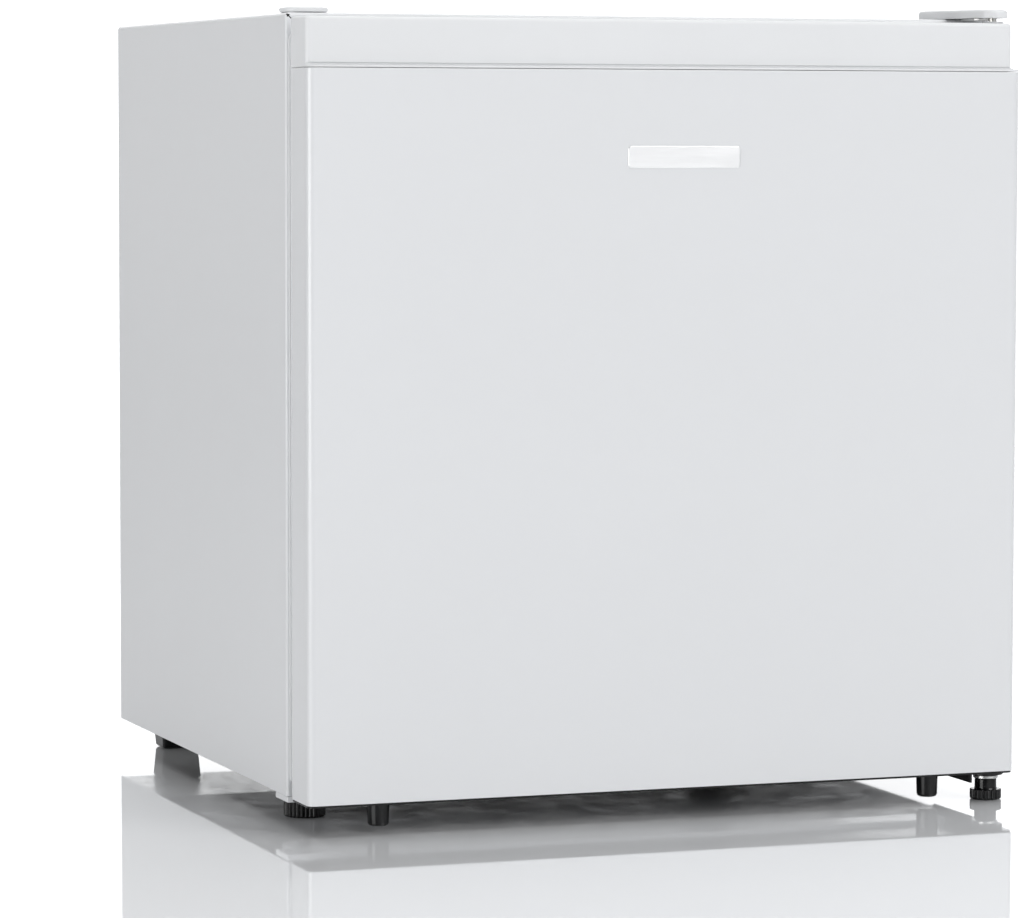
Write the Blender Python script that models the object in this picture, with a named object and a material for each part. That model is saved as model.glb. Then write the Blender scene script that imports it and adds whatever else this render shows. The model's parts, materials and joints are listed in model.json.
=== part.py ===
"""Table-top mini fridge with one door, for blender --background --python part.py.

Metres, +Z up. The door faces -Y and its hinge is at +X. The origin is the centre of the
footprint on the floor.
"""

import math

import bmesh
import bpy
from mathutils import Matrix, Vector

# Overall size
WIDTH = 0.468
DEPTH = 0.445
HEIGHT = 0.500
FIT = 0.0003  # gap between pieces that touch
RUNNING = 0.0003  # radial clearance of a pin in its bush

# Heights of the main edges
CABINET_CLEARANCE = 0.0198  # floor to the underside of the cabinet
COVER_RISE = 0.006  # hinge cover above the cabinet top
DOOR_TOP_DROP = 0.003  # door top below the cabinet top
DOOR_BOTTOM = 0.0195
TRIM_HEIGHT = 0.0305  # plastic strip along the top of the door

# Depth split, front to back
BADGE_PROUD = 0.0006
DOOR_THICKNESS = 0.0346
DOOR_GAP = 0.010  # filled by the gasket
CONDENSER_SPACE = 0.012

# Sheets and walls
SHEET = 0.0012
LINER = 0.0016
LINER_CORNER = 0.007
PLASTIC = 0.0018
INSULATION = 0.035  # cabinet wall with its sheet and liner
FLANGE = 0.022  # front return of the cabinet sheet
STEP_INSULATION = 0.020
RECESS_DEPTH = 0.110
RECESS_HEIGHT = 0.155

# Hinge
PIN_INSET_X = 0.0115
PIN_INSET_Y = 0.0185
PIN_RADIUS = 0.0025
BRACKET = 0.002
HINGE_ARM_HALF = 0.011
BUSH_WALL = 0.0022
BUSH_LENGTH = 0.014
SCREW_RADIUS = 0.0035
SCREW_HEAD = 0.0016
LOWER_PIN_RADIUS = 0.0036
BRACKET_BACK = 0.067  # behind the cabinet's front edge
BRACKET_FOOT = 0.027  # where the wide foot of the bracket begins
COVER_BACK = 0.027  # how far the hinge cover reaches behind the cabinet's front edge
COVER_WIDTH = 0.0415  # at its back, in from the cabinet side
COVER_REACH = 0.0092  # its radius about the pin
COVER_WALL = 0.0014
HINGE_ARC_STEPS = 12
TONGUE_WIDTH = 0.013
TONGUE_NECK = 0.0070
TONGUE_DROP = 0.0012  # tongue below the cabinet top

# Feet
LEVEL_FOOT_RADIUS = 0.013
LEVEL_FOOT_HEIGHT = 0.0115
LEVEL_FOOT_INSET_X = 0.026
LEVEL_FOOT_SETBACK = 0.047
LEVEL_STUD_RADIUS = 0.004
LEVEL_STUD_LENGTH = 0.036
SOCKET_HEIGHT = 0.026
SOCKET_PLATE = 0.002
HINGE_FOOT_RADIUS = 0.010
HINGE_FOOT_BASE = 0.0065
HINGE_FOOT_STEM_RADIUS = 0.007
HINGE_FOOT_STEM_TOP = 0.0132
HINGE_STUD_RADIUS = 0.0021
STUB_RADIUS = 0.007  # posts under the door
STUB_LEFT = 0.049  # in from the door's left side
STUB_RIGHT = 0.0535  # in from its hinge side
STUB_SETBACK = 0.0159  # behind the door face
STUB_LOW = 0.0038  # height of their feet above the floor
REAR_FOOT_SIZE = (0.028, 0.024)
REAR_FOOT_INSET_X = 0.022
REAR_FOOT_INSET_Y = 0.0015

# Door
DOOR_SKIN = 0.0010
DOOR_CORNER = 0.005
DOOR_RETURN = 0.010
CAP_DROP = 0.0012  # sole of the bottom cap below the skin
CAP_SOLE_INSET = 0.0006
TRIM_SETBACK = 0.0045
TRIM_INSET_RIGHT = 0.0035
TRIM_DRAFT = 0.0006
TRIM_FOOT = 0.0011
TRIM_SCOOP = 0.003
GRIP_WIDTH = 0.120
GRIP_DEPTH = 0.019
GRIP_OFFSET = 0.030  # from the opening side
GRIP_LEDGE = 0.005  # wall in front of the pocket
GRIP_FLOOR = 0.009  # pocket floor above the panel top
GASKET_MARGIN = 0.0085
GASKET_MARGIN_LEFT = 0.0015  # away from the hinge the seal lies nearer the edge
GASKET_WIDTH = 0.014
GASKET_GROOVE = 0.0024
RIDGE_MARGIN = 0.044  # door edge to the raised ridge of the door liner
RIDGE_WIDTH = 0.018
RIDGE_HEIGHT = 0.020
RIDGE_LIFT = 0.008  # ridge ends inside the food space
RACK_DEPTH = 0.067
RACK_WALL = 0.002
RACK_UPPER_RISE = 0.200
RACK_UPPER_HEIGHT = 0.058
RACK_LOWER_RISE = 0.034
RACK_LOWER_HEIGHT = 0.070
BADGE_SIZE = (0.0735, 0.0135)
BADGE_CENTRE_X = 0.0065
BADGE_DROP = 0.0925  # badge centre below the cabinet top plus its cover
BADGE_SEAT = 0.0005

# Inside
FREEZER_DROP = 0.009
FREEZER_HEIGHT = 0.095
FREEZER_INSET_LEFT = 0.014
FREEZER_INSET_RIGHT = 0.067
FREEZER_SETBACK = 0.161
FREEZER_SHEET = 0.0015
FLAP_GAP = 0.0008
FRAME_BORDER = 0.005
FRAME_DEPTH = 0.0065
RAIL = 0.0018
FLAP_PIN = 0.0018
TRAY_DEPTH = 0.0175
TRAY_DROP = 0.008
SHELF_THICKNESS = 0.004
SHELF_TRIM_DEPTH = 0.012
SHELF_SETBACK = 0.092
LEDGE_WIDTH = 0.006
LEDGE_HEIGHT = 0.004
KNOB_RADIUS = 0.017
KNOB_LENGTH = 0.014

# Refrigeration
PIPE_RADIUS = 0.003
COIL_RADIUS = 0.0024
COIL_RUNS = 8
COIL_MARGIN_X = 0.040
COMPRESSOR_SIZE = (0.124, 0.084, 0.116)
COMPRESSOR_X = -0.040
GROMMET_HEIGHT = 0.009

# Derived planes
SIDE = WIDTH / 2
FRONT = -DEPTH / 2
REAR = DEPTH / 2
DOOR_FACE = FRONT + BADGE_PROUD
DOOR_BACK = DOOR_FACE + DOOR_THICKNESS
CABINET_FRONT = DOOR_BACK + DOOR_GAP
CABINET_REAR = REAR - CONDENSER_SPACE
CABINET_TOP = HEIGHT - COVER_RISE
DOOR_TOP = CABINET_TOP - DOOR_TOP_DROP
PANEL_TOP = DOOR_TOP - TRIM_HEIGHT
CAVITY_X = SIDE - INSULATION
CAVITY_TOP = CABINET_TOP - INSULATION
CAVITY_FLOOR = CABINET_CLEARANCE + INSULATION
CAVITY_BACK = CABINET_REAR - INSULATION
RECESS_FRONT = CABINET_REAR - RECESS_DEPTH
RECESS_TOP = CABINET_CLEARANCE + RECESS_HEIGHT
STEP_FRONT = RECESS_FRONT - STEP_INSULATION
STEP_TOP = RECESS_TOP + STEP_INSULATION
INNER_X = SIDE - SHEET - FIT  # half width that fits between the cabinet sides
HINGE_X = SIDE - PIN_INSET_X
HINGE_Y = FRONT + PIN_INSET_Y
FREEZER_LEFT = -CAVITY_X + FREEZER_INSET_LEFT
FREEZER_RIGHT = CAVITY_X - FREEZER_INSET_RIGHT
FREEZER_TOP = CAVITY_TOP - FREEZER_DROP
FREEZER_BOTTOM = FREEZER_TOP - FREEZER_HEIGHT
FREEZER_FRONT = CABINET_FRONT + FREEZER_SETBACK
FREEZER_BACK = CAVITY_BACK - 0.016
SHELF_FRONT = CABINET_FRONT + SHELF_SETBACK
SHELF_Z = STEP_TOP + FIT
FLAP_Y = FREEZER_FRONT - FIT - FRAME_DEPTH / 2
LINER_BACK = DOOR_BACK + FIT + LINER
BADGE_Z = HEIGHT - BADGE_DROP
PIN_BASE = CABINET_TOP + FIT
SOCKET_TOP = CABINET_CLEARANCE + SOCKET_HEIGHT
BASE_PLATE_TOP = CABINET_CLEARANCE + FIT + 0.0015
MOUNT_PLATE_BOTTOM = BASE_PLATE_TOP + GROMMET_HEIGHT + 2 * FIT
COMPRESSOR_Y = (RECESS_FRONT + CABINET_REAR) / 2

EXTRA = 0.02  # how far a cutter runs past the face it opens
AXES = {"X": (1, 2, 0), "Y": (0, 2, 1), "Z": (0, 1, 2)}  # outline's two axes, then the extruded one
FINISHES = {}


def finish(name, colour, roughness, metallic=0.0, alpha=1.0):
    """The named material, made once."""
    if name not in FINISHES:
        material = bpy.data.materials.new(name)
        material.use_nodes = True
        shader = material.node_tree.nodes["Principled BSDF"]
        shader.inputs["Base Color"].default_value = (*colour, 1.0)
        shader.inputs["Roughness"].default_value = roughness
        shader.inputs["Metallic"].default_value = metallic
        shader.inputs["Alpha"].default_value = alpha
        FINISHES[name] = material
    return FINISHES[name]


def enamel():
    return finish("white_enamel", (0.78, 0.79, 0.80), 0.30)


def white_plastic():
    return finish("white_plastic", (0.82, 0.83, 0.84), 0.38)


def liner_plastic():
    return finish("liner_plastic", (0.86, 0.87, 0.88), 0.32)


def black_plastic():
    return finish("black_plastic", (0.012, 0.012, 0.013), 0.30)


def zinc():
    return finish("zinc_steel", (0.62, 0.62, 0.60), 0.35, 1.0)


def black_paint():
    return finish("black_paint", (0.015, 0.015, 0.016), 0.42)


def aluminium():
    return finish("aluminium", (0.80, 0.81, 0.82), 0.38, 1.0)


def satin_metal():
    return finish("satin_metal", (0.72, 0.73, 0.74), 0.28, 1.0)


def foam():
    return finish("foam", (0.80, 0.68, 0.38), 0.90)


def gasket_vinyl():
    return finish("gasket_vinyl", (0.74, 0.75, 0.76), 0.55)


def clear_plastic():
    return finish("clear_plastic", (0.86, 0.92, 0.95), 0.10, 0.0, 0.45)


def shelf_glass_finish():
    return finish("shelf_glass", (0.82, 0.93, 0.90), 0.04, 0.0, 0.35)


def copper():
    return finish("copper", (0.72, 0.36, 0.20), 0.32, 1.0)


def rubber():
    return finish("rubber", (0.03, 0.03, 0.03), 0.75)


def placed(bm, name="shape"):
    """An object in the scene that holds this mesh, its faces pointing out."""
    bmesh.ops.recalc_face_normals(bm, faces=bm.faces)
    mesh = bpy.data.meshes.new(name)
    bm.to_mesh(mesh)
    bm.free()
    shape = bpy.data.objects.new(name, mesh)
    bpy.context.scene.collection.objects.link(shape)
    return shape


def prism(outline, span, axis):
    """A closed outline extruded from span[0] to span[1] along an axis."""
    first, second, along = AXES[axis]
    bm = bmesh.new()
    rings = []
    for level in span:
        ring = []
        for point in outline:
            place = [0.0, 0.0, 0.0]
            place[first], place[second], place[along] = point[0], point[1], level
            ring.append(bm.verts.new(place))
        rings.append(ring)
    bm.faces.new(rings[0])
    bm.faces.new(rings[1])
    for i in range(len(outline)):
        j = (i + 1) % len(outline)
        bm.faces.new((rings[0][i], rings[0][j], rings[1][j], rings[1][i]))
    return placed(bm)


def box(x, y, z):
    """A block between (low, high) pairs."""
    return prism([(x[0], y[0]), (x[1], y[0]), (x[1], y[1]), (x[0], y[1])], z, "Z")


def turned(profile, centre, axis="Z", steps=32):
    """A profile of (radius, height) points turned about a line through centre; it starts and ends on the axis
    or, for a ring, is closed."""
    closed = profile[0][0] > 0
    bm = bmesh.new()
    verts = [bm.verts.new((radius, 0.0, height)) for radius, height in profile]
    edges = [bm.edges.new(pair) for pair in zip(verts, verts[1:])]
    if closed:
        edges.append(bm.edges.new((verts[-1], verts[0])))
    bmesh.ops.spin(
        bm, geom=verts + edges, cent=(0, 0, 0), axis=(0, 0, 1), angle=math.tau, steps=steps, use_merge=True
    )
    bmesh.ops.remove_doubles(bm, verts=bm.verts, dist=0.000001)
    turn = {"X": Matrix.Rotation(math.pi / 2, 4, "Y"), "Y": Matrix.Rotation(math.pi / 2, 4, "X")}
    bmesh.ops.transform(bm, matrix=turn.get(axis, Matrix()), verts=bm.verts)
    bmesh.ops.translate(bm, vec=centre, verts=bm.verts)
    return placed(bm)


def disc(radius, z, centre, steps=32, round_off=0.0):
    """An upright round post with an optional rounded lower edge."""
    profile = [(0.0, z[0])]
    for i in range(4 if round_off else 1):
        angle = math.pi / 2 * i / 3 if round_off else 0.0
        profile.append(
            (radius - round_off * (1 - math.sin(angle)), z[0] + round_off * (1 - math.cos(angle)))
        )
    profile += [(radius, z[1]), (0.0, z[1])]
    return turned(profile, (centre[0], centre[1], 0.0), "Z", steps)


def rounded(corners, steps=3):
    """An outline whose (x, y, radius) corners are replaced by arcs."""
    outline = []
    for i, (x, y, radius) in enumerate(corners):
        here = Vector((x, y))
        if radius <= 0:
            outline.append((x, y))
            continue
        before = (Vector(corners[i - 1][:2]) - here).normalized()
        after = (Vector(corners[(i + 1) % len(corners)][:2]) - here).normalized()
        half = before.angle(after) / 2
        centre = here + (before + after).normalized() * radius / math.sin(half)
        start = here + before * radius / math.tan(half) - centre
        end = here + after * radius / math.tan(half) - centre
        sweep = math.pi - 2 * half
        for k in range(steps + 1):
            done = sweep * k / steps
            way = start * math.sin(sweep - done) + end * math.sin(done)
            outline.append(tuple(centre + way / math.sin(sweep)))
    return outline


def rectangle(x, y, radius=0.0):
    """The four corners of a rectangle, for rounded()."""
    return [(x[0], y[0], radius), (x[1], y[0], radius), (x[1], y[1], radius), (x[0], y[1], radius)]


def strip(line, thickness):
    """The outline of a sheet that follows a line, with the sheet on the line's left."""
    offset = []
    for i, point in enumerate(line):
        here = Vector(point)
        normals = []
        for a, b in ((i - 1, i), (i, i + 1)):
            if a >= 0 and b < len(line):
                way = (Vector(line[b]) - Vector(line[a])).normalized()
                normals.append(Vector((-way.y, way.x)))
        middle = sum(normals, Vector((0.0, 0.0))).normalized()
        offset.append(tuple(here + middle * thickness / middle.dot(normals[0])))
    return list(line) + offset[::-1]


def combined(base, others, operation):
    """base with each other shape worked into it; the others are used up."""
    for other in others:
        modifier = base.modifiers.new("combine", "BOOLEAN")
        modifier.operation = operation
        modifier.solver = "EXACT"
        modifier.object = other
        graph = bpy.context.evaluated_depsgraph_get()
        base.data = bpy.data.meshes.new_from_object(base.evaluated_get(graph))
        base.modifiers.clear()
        bpy.data.objects.remove(other, do_unlink=True)
    return base


def cut(base, *others):
    return combined(base, others, "DIFFERENCE")


def joined(base, *others):
    return combined(base, others, "UNION")


def common(base, *others):
    return combined(base, others, "INTERSECT")


def bevelled(shape, chosen, width, steps=2):
    """The shape with the edges that chosen() picks rounded; it is given the edge's two end points."""
    bm = bmesh.new()
    bm.from_mesh(shape.data)
    edges = [edge for edge in bm.edges if chosen(edge.verts[0].co, edge.verts[1].co)]
    bmesh.ops.bevel(bm, geom=edges, offset=width, segments=steps, profile=0.5, affect="EDGES")
    bm.to_mesh(shape.data)
    bm.free()
    return shape


def near(a, b):
    return abs(a - b) < 0.00005


def piece(name, shape, material, parent=None, origin=None):
    """Names a finished shape, gives it its material and puts its origin on its joint."""
    shape.name = name
    shape.data.name = name
    shape.data.materials.clear()
    shape.data.materials.append(material)
    if shape.type == "MESH":
        shape.data.shade_smooth()
        shape.data.set_sharp_from_angle(angle=math.radians(30))
    if origin:
        shape.data.transform(Matrix.Translation(-Vector(origin)))
        shape.location = origin
    if parent:
        shape.parent = parent
        shape.matrix_parent_inverse = Matrix.Translation(-parent.location)
    return shape


def smooth_path(points, per_span=6):
    """Points along a smooth curve through the route's points."""
    ends = [2 * Vector(points[0]) - Vector(points[1]), 2 * Vector(points[-1]) - Vector(points[-2])]
    route = [ends[0], *map(Vector, points), ends[1]]
    path = []
    for i in range(1, len(route) - 2):
        a, b, c, d = route[i - 1 : i + 3]
        for k in range(per_span):
            t = k / per_span
            square = 2 * a - 5 * b + 4 * c - d
            cube = 3 * b - a - 3 * c + d
            path.append(0.5 * (2 * b + (c - a) * t + square * t**2 + cube * t**3))
    path.append(route[-2])
    return path


def tube(path, radius):
    """A round tube along a path, with closed ends."""
    curve = bpy.data.curves.new("tube", "CURVE")
    curve.dimensions = "3D"
    curve.bevel_depth = radius
    curve.bevel_resolution = 1
    curve.use_fill_caps = True
    spline = curve.splines.new("POLY")
    spline.points.add(len(path) - 1)
    for point, place in zip(spline.points, path):
        point.co = (*place, 1.0)
    shape = bpy.data.objects.new("tube", curve)
    bpy.context.scene.collection.objects.link(shape)
    return shape


# Cabinet ---------------------------------------------------------------------------------------------


def outer_shell():
    """One steel sheet folded over the sides and top, with a return flange round the front."""
    fold = 0.0025
    outline = rounded(
        [
            (-SIDE, CABINET_CLEARANCE, 0),
            (SIDE, CABINET_CLEARANCE, 0),
            (SIDE, CABINET_TOP, fold),
            (-SIDE, CABINET_TOP, fold),
        ]
    )
    shell = prism(outline, (CABINET_FRONT, CABINET_REAR), "Y")

    def front_rim(a, b):
        at_front = near(a.y, CABINET_FRONT) and near(b.y, CABINET_FRONT)
        return at_front and not (near(a.z, CABINET_CLEARANCE) and near(b.z, CABINET_CLEARANCE))

    bevelled(shell, front_rim, 0.0018, 3)
    inside = SIDE - SHEET
    low = CABINET_CLEARANCE - EXTRA
    hollow = box(
        (-inside, inside), (CABINET_FRONT + SHEET, CABINET_REAR + EXTRA), (low, CABINET_TOP - SHEET)
    )
    mouth_x = SIDE - FLANGE
    mouth = box(
        (-mouth_x, mouth_x), (CABINET_FRONT - EXTRA, CABINET_FRONT + EXTRA), (low, CABINET_TOP - FLANGE)
    )
    return piece("outer_shell", cut(shell, hollow, mouth), enamel())


def rear_panel():
    panel = box(
        (-INNER_X, INNER_X), (CABINET_REAR - SHEET, CABINET_REAR), (RECESS_TOP, CABINET_TOP - SHEET - FIT)
    )
    return piece("rear_panel", panel, enamel())


def folded_bottom():
    """The line of the bottom sheet: up the front bar, along the floor, up and over the recess."""
    return [
        (CABINET_FRONT + SHEET + FIT, CABINET_CLEARANCE),
        (RECESS_FRONT, CABINET_CLEARANCE),
        (RECESS_FRONT, RECESS_TOP - SHEET - FIT),
        (CABINET_REAR - FIT, RECESS_TOP - SHEET - FIT),
    ]


def bottom_panel():
    sheet = prism(strip(folded_bottom(), SHEET), (-INNER_X, INNER_X), "X")
    bar_x = SIDE - FLANGE - FIT
    bar_top = CAVITY_FLOOR - LINER - 0.010
    bar_line = [
        (CABINET_FRONT + SHEET, bar_top),
        (CABINET_FRONT + SHEET, CABINET_CLEARANCE + SHEET),
        (CABINET_FRONT + 0.004, CABINET_CLEARANCE + SHEET),
    ]
    bar = prism(strip(bar_line[::-1], SHEET)[::-1], (-bar_x, bar_x), "X")
    panel = joined(sheet, bar)
    socket = disc(LEVEL_STUD_RADIUS + 0.0043, (0.0, 0.05), (-foot_x(), foot_y()), 24)
    return piece("bottom_panel", cut(panel, socket), black_paint())


def front_base_rail():
    """The strip under the cabinet's front edge; it stops short of the hinge bracket."""
    rail = box(
        (-SIDE + 0.0005, HINGE_X - HINGE_ARM_HALF - 0.004),
        (CABINET_FRONT, CABINET_FRONT + 0.025),
        (CABINET_CLEARANCE - 0.004, CABINET_CLEARANCE - FIT),
    )
    return piece("front_base_rail", rail, enamel())


def compressor_base():
    """A channel across the rear bottom that carries the compressor and the rear feet."""
    low = CABINET_CLEARANCE + FIT
    line = [
        (RECESS_FRONT + 0.006, low + 0.014),
        (RECESS_FRONT + 0.006, low),
        (CABINET_REAR - 0.002, low),
        (CABINET_REAR - 0.002, low + 0.022),
    ]
    channel = prism(strip(line, BASE_PLATE_TOP - low), (-INNER_X, INNER_X), "X")
    hole = turned([(0, -0.01), (0.0063, -0.01), (0.0063, 0.01), (0, 0.01)], gland_place(), "Y", 24)
    return piece("compressor_base", cut(channel, hole), zinc())


def gland_place():
    return (SIDE - 0.114, CABINET_REAR - 0.00275, CABINET_CLEARANCE + 0.0135)


def cable_gland():
    """A grommet for the mains lead, seated in the channel's rear flange."""
    profile = [(0.003, -0.006), (0.0085, -0.006), (0.0085, -0.00115), (0.006, -0.00115)]
    profile += [(0.006, 0.00115), (0.0085, 0.00115), (0.0085, 0.0045), (0.003, 0.0045)]
    return piece("cable_gland", turned(profile, gland_place(), "Y", 24), black_plastic())


def liner_profile(grow):
    """The stepped side view of the food space, grown outwards by a distance."""
    return [
        (CABINET_FRONT - EXTRA, CAVITY_FLOOR - grow),
        (STEP_FRONT + grow, CAVITY_FLOOR - grow),
        (STEP_FRONT + grow, STEP_TOP - grow),
        (CAVITY_BACK + grow, STEP_TOP - grow),
        (CAVITY_BACK + grow, CAVITY_TOP + grow),
        (CABINET_FRONT - EXTRA, CAVITY_TOP + grow),
    ]


def inner_liner():
    """The moulded food compartment: stepped over the compressor, with shelf ledges and ceiling bosses."""
    outer_x = CAVITY_X + LINER
    outer = prism(liner_profile(LINER), (-outer_x, outer_x), "X")
    front = box((-SIDE, SIDE), (CABINET_FRONT - 2 * EXTRA, CABINET_FRONT), (0, HEIGHT))
    body = cut(outer, front)
    rim_x = SIDE - FLANGE - FIT
    rim = box(
        (-rim_x, rim_x),
        (CABINET_FRONT, CABINET_FRONT + LINER),
        (CAVITY_FLOOR - LINER - 0.010 + FIT, CABINET_TOP - FLANGE - FIT),
    )
    body = joined(body, rim)
    inside = prism(
        rounded([(y, z, 0 if y < CABINET_FRONT else LINER_CORNER) for y, z in liner_profile(0.0)], 2),
        (-CAVITY_X, CAVITY_X),
        "X",
    )
    body = cut(body, inside)
    for side in (-1, 1):
        x = sorted((side * (CAVITY_X - LEDGE_WIDTH), side * (CAVITY_X + LINER / 2)))
        ledge = box(
            x, (SHELF_FRONT - 0.030, STEP_FRONT + 0.001), (SHELF_Z - FIT - LEDGE_HEIGHT, SHELF_Z - FIT)
        )
        body = joined(body, ledge)
    for x in (FREEZER_LEFT + 0.03, FREEZER_RIGHT - 0.03):
        boss = box(
            (x - 0.008, x + 0.008), (FREEZER_FRONT + 0.02, FREEZER_BACK - 0.02), (
                FREEZER_TOP + FIT, CAVITY_TOP + LINER / 2
            )
        )
        body = joined(body, boss)
    return piece("inner_liner", body, liner_plastic())


def cabinet_foam():
    """Insulation between the sheet and the liner."""
    gap = SHEET + FIT
    profile = [
        (CABINET_FRONT + LINER + FIT, CABINET_CLEARANCE + gap),
        (RECESS_FRONT - gap, CABINET_CLEARANCE + gap),
        (RECESS_FRONT - gap, RECESS_TOP),
        (CABINET_REAR - gap, RECESS_TOP),
        (CABINET_REAR - gap, CABINET_TOP - gap),
        (CABINET_FRONT + LINER + FIT, CABINET_TOP - gap),
    ]
    body = prism(profile, (-INNER_X, INNER_X), "X")
    space_x = CAVITY_X + LINER + FIT
    space = prism(liner_profile(LINER + FIT), (-space_x, space_x), "X")
    socket = disc(LEVEL_STUD_RADIUS + 0.0046, (0, SOCKET_TOP + FIT), (-foot_x(), foot_y()), 24)
    return piece("cabinet_foam", cut(body, space, socket), foam())


# Feet ------------------------------------------------------------------------------------------------

def foot_x():
    return SIDE - LEVEL_FOOT_INSET_X


def foot_y():
    return CABINET_FRONT + LEVEL_FOOT_SETBACK


def knurled(radius, height, centre, ribs, depth, round_off=0.001):
    """A ribbed disc: its outline goes in and out round the rim, and its lower edge is rounded."""
    bm = bmesh.new()
    levels = [(0.0, radius - round_off), (round_off, radius), (height, radius)]
    rings = []
    for z, reach in levels:
        ring = []
        for i in range(2 * ribs):
            angle = math.tau * i / (2 * ribs)
            r = reach - (depth if i % 2 else 0.0)
            ring.append(bm.verts.new((centre[0] + r * math.cos(angle), centre[1] + r * math.sin(angle), z)))
        rings.append(ring)
    for low, high in zip(rings, rings[1:]):
        for i in range(2 * ribs):
            j = (i + 1) % (2 * ribs)
            bm.faces.new((low[i], low[j], high[j], high[i]))
    bm.faces.new(rings[0])
    bm.faces.new(rings[-1])
    return placed(bm)


def foot_left():
    """Levelling foot: a ribbed disc on a screw that turns in the socket."""
    centre = (-foot_x(), foot_y())
    base = knurled(LEVEL_FOOT_RADIUS, LEVEL_FOOT_HEIGHT, centre, 30, 0.0007)
    stud = disc(LEVEL_STUD_RADIUS, (LEVEL_FOOT_HEIGHT / 2, LEVEL_STUD_LENGTH), centre, 20)
    return piece("foot_left", joined(base, stud), black_plastic(), origin=(*centre, 0.0))


def foot_socket_left():
    """The threaded insert that the left foot's screw runs in, with its flange below the bottom sheet."""
    bore = LEVEL_STUD_RADIUS + FIT
    outer = LEVEL_STUD_RADIUS + 0.004
    low = CABINET_CLEARANCE - FIT - SOCKET_PLATE
    profile = [(bore, low), (0.014, low), (0.014, low + SOCKET_PLATE), (outer, low + SOCKET_PLATE)]
    profile += [(outer, SOCKET_TOP), (bore, SOCKET_TOP)]
    socket = turned(profile, (-foot_x(), foot_y(), 0), "Z", 24)
    return piece("foot_socket_left", socket, white_plastic())


def foot_right():
    """Levelling foot on the hinge axis; its screw runs inside the hollow lower hinge pin."""
    centre = (HINGE_X, HINGE_Y)
    base = knurled(HINGE_FOOT_RADIUS, HINGE_FOOT_BASE, centre, 24, 0.0006)
    stem = disc(HINGE_FOOT_STEM_RADIUS, (HINGE_FOOT_BASE / 2, HINGE_FOOT_STEM_TOP), centre, 24)
    stud = disc(HINGE_STUD_RADIUS, (HINGE_FOOT_BASE, lower_pin_top() - 0.003), centre, 12)
    return piece("foot_right", joined(base, stem, stud), black_plastic(), origin=(*centre, 0.0))


def rear_foot(name, side):
    """A tapered rectangular block under the compressor base."""
    top = CABINET_CLEARANCE
    centre_x = side * (SIDE - REAR_FOOT_INSET_X - REAR_FOOT_SIZE[0] / 2)
    centre_y = CABINET_REAR - REAR_FOOT_INSET_Y - REAR_FOOT_SIZE[1] / 2
    bm = bmesh.new()
    rings = []
    for z, shrink in ((0.0, 0.0025), (0.0015, 0.0016), (top, 0.0)):
        x, y = REAR_FOOT_SIZE[0] / 2 - shrink, REAR_FOOT_SIZE[1] / 2 - shrink
        rings.append(
            [bm.verts.new((centre_x + i * x, centre_y + j * y, z))
            for i, j in ((-1, -1), (1, -1), (1, 1), (-1, 1))]
        )
    for low, high in zip(rings, rings[1:]):
        for i in range(4):
            bm.faces.new((low[i], low[(i + 1) % 4], high[(i + 1) % 4], high[i]))
    bm.faces.new(rings[0])
    bm.faces.new(rings[-1])
    return piece(name, placed(bm), black_plastic())


# Hinges ----------------------------------------------------------------------------------------------


def hinge_outline(left, back, reach, corner=0.0):
    """The plan of a hinge plate: round about the pin, straight from there to its rear corners."""
    pin = Vector((HINGE_X, HINGE_Y))
    away = Vector((left, back)) - pin
    start = math.atan2(away.y, away.x) + math.acos(reach / away.length)
    turns = [start + (2 * math.pi - start) * i / HINGE_ARC_STEPS for i in range(HINGE_ARC_STEPS + 1)]
    arc = [(pin.x + reach * math.cos(a), pin.y + reach * math.sin(a), 0) for a in turns]
    return rounded([*arc, (pin.x + reach, back, corner), (left, back, corner)])


def upper_hinge_bracket():
    """A flat plate with a thicker tongue that holds the pin."""
    margin = COVER_WALL + 0.0026
    left, back = SIDE - COVER_WIDTH + margin, CABINET_FRONT + COVER_BACK - margin
    reach = COVER_REACH - COVER_WALL - 2 * FIT
    plate = prism(hinge_outline(left, back, reach), (PIN_BASE, PIN_BASE + BRACKET), "Z")
    depth = (HINGE_Y, CABINET_FRONT - 4 * FIT)
    tongue = box((HINGE_X - TONGUE_WIDTH, HINGE_X), depth, (CABINET_TOP - TONGUE_DROP, CABINET_TOP))
    neck = box((HINGE_X - TONGUE_NECK, HINGE_X), depth, (CABINET_TOP - FIT, PIN_BASE + BRACKET / 2))
    hole = disc(PIN_RADIUS + FIT, (CABINET_TOP - EXTRA, HEIGHT + EXTRA), (HINGE_X, HINGE_Y), 20)
    return piece("upper_hinge_bracket", cut(joined(plate, neck, tongue), hole), zinc())


def upper_hinge_pin():
    top = PIN_BASE + BRACKET
    profile = [
        (0, PIN_BASE - 0.0195), (PIN_RADIUS - 0.0006, PIN_BASE - 0.0195), (PIN_RADIUS, PIN_BASE - 0.0187)
    ]
    profile += [
        (PIN_RADIUS, top + FIT),
        (PIN_RADIUS + 0.0012, top + FIT),
        (PIN_RADIUS + 0.0012, top + 0.0013),
        (0, top + 0.0013),
    ]
    return piece("upper_hinge_pin", turned(profile, (HINGE_X, HINGE_Y, 0), "Z", 20), zinc())


def upper_hinge_cover():
    """A thin moulded cap over the upper hinge, open below."""
    left, back, wall = SIDE - COVER_WIDTH, CABINET_FRONT + COVER_BACK, COVER_WALL
    outer = prism(hinge_outline(left, back, COVER_REACH, 0.003), (PIN_BASE, HEIGHT), "Z")
    bevelled(outer, lambda a, b: near(a.z, HEIGHT) and near(b.z, HEIGHT), 0.0012, 2)
    inner = prism(
        hinge_outline(left + wall, back - wall, COVER_REACH - wall, 0.002),
        (CABINET_TOP - EXTRA, HEIGHT - wall),
        "Z",
    )
    return piece("upper_hinge_cover", cut(outer, inner), white_plastic())


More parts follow.
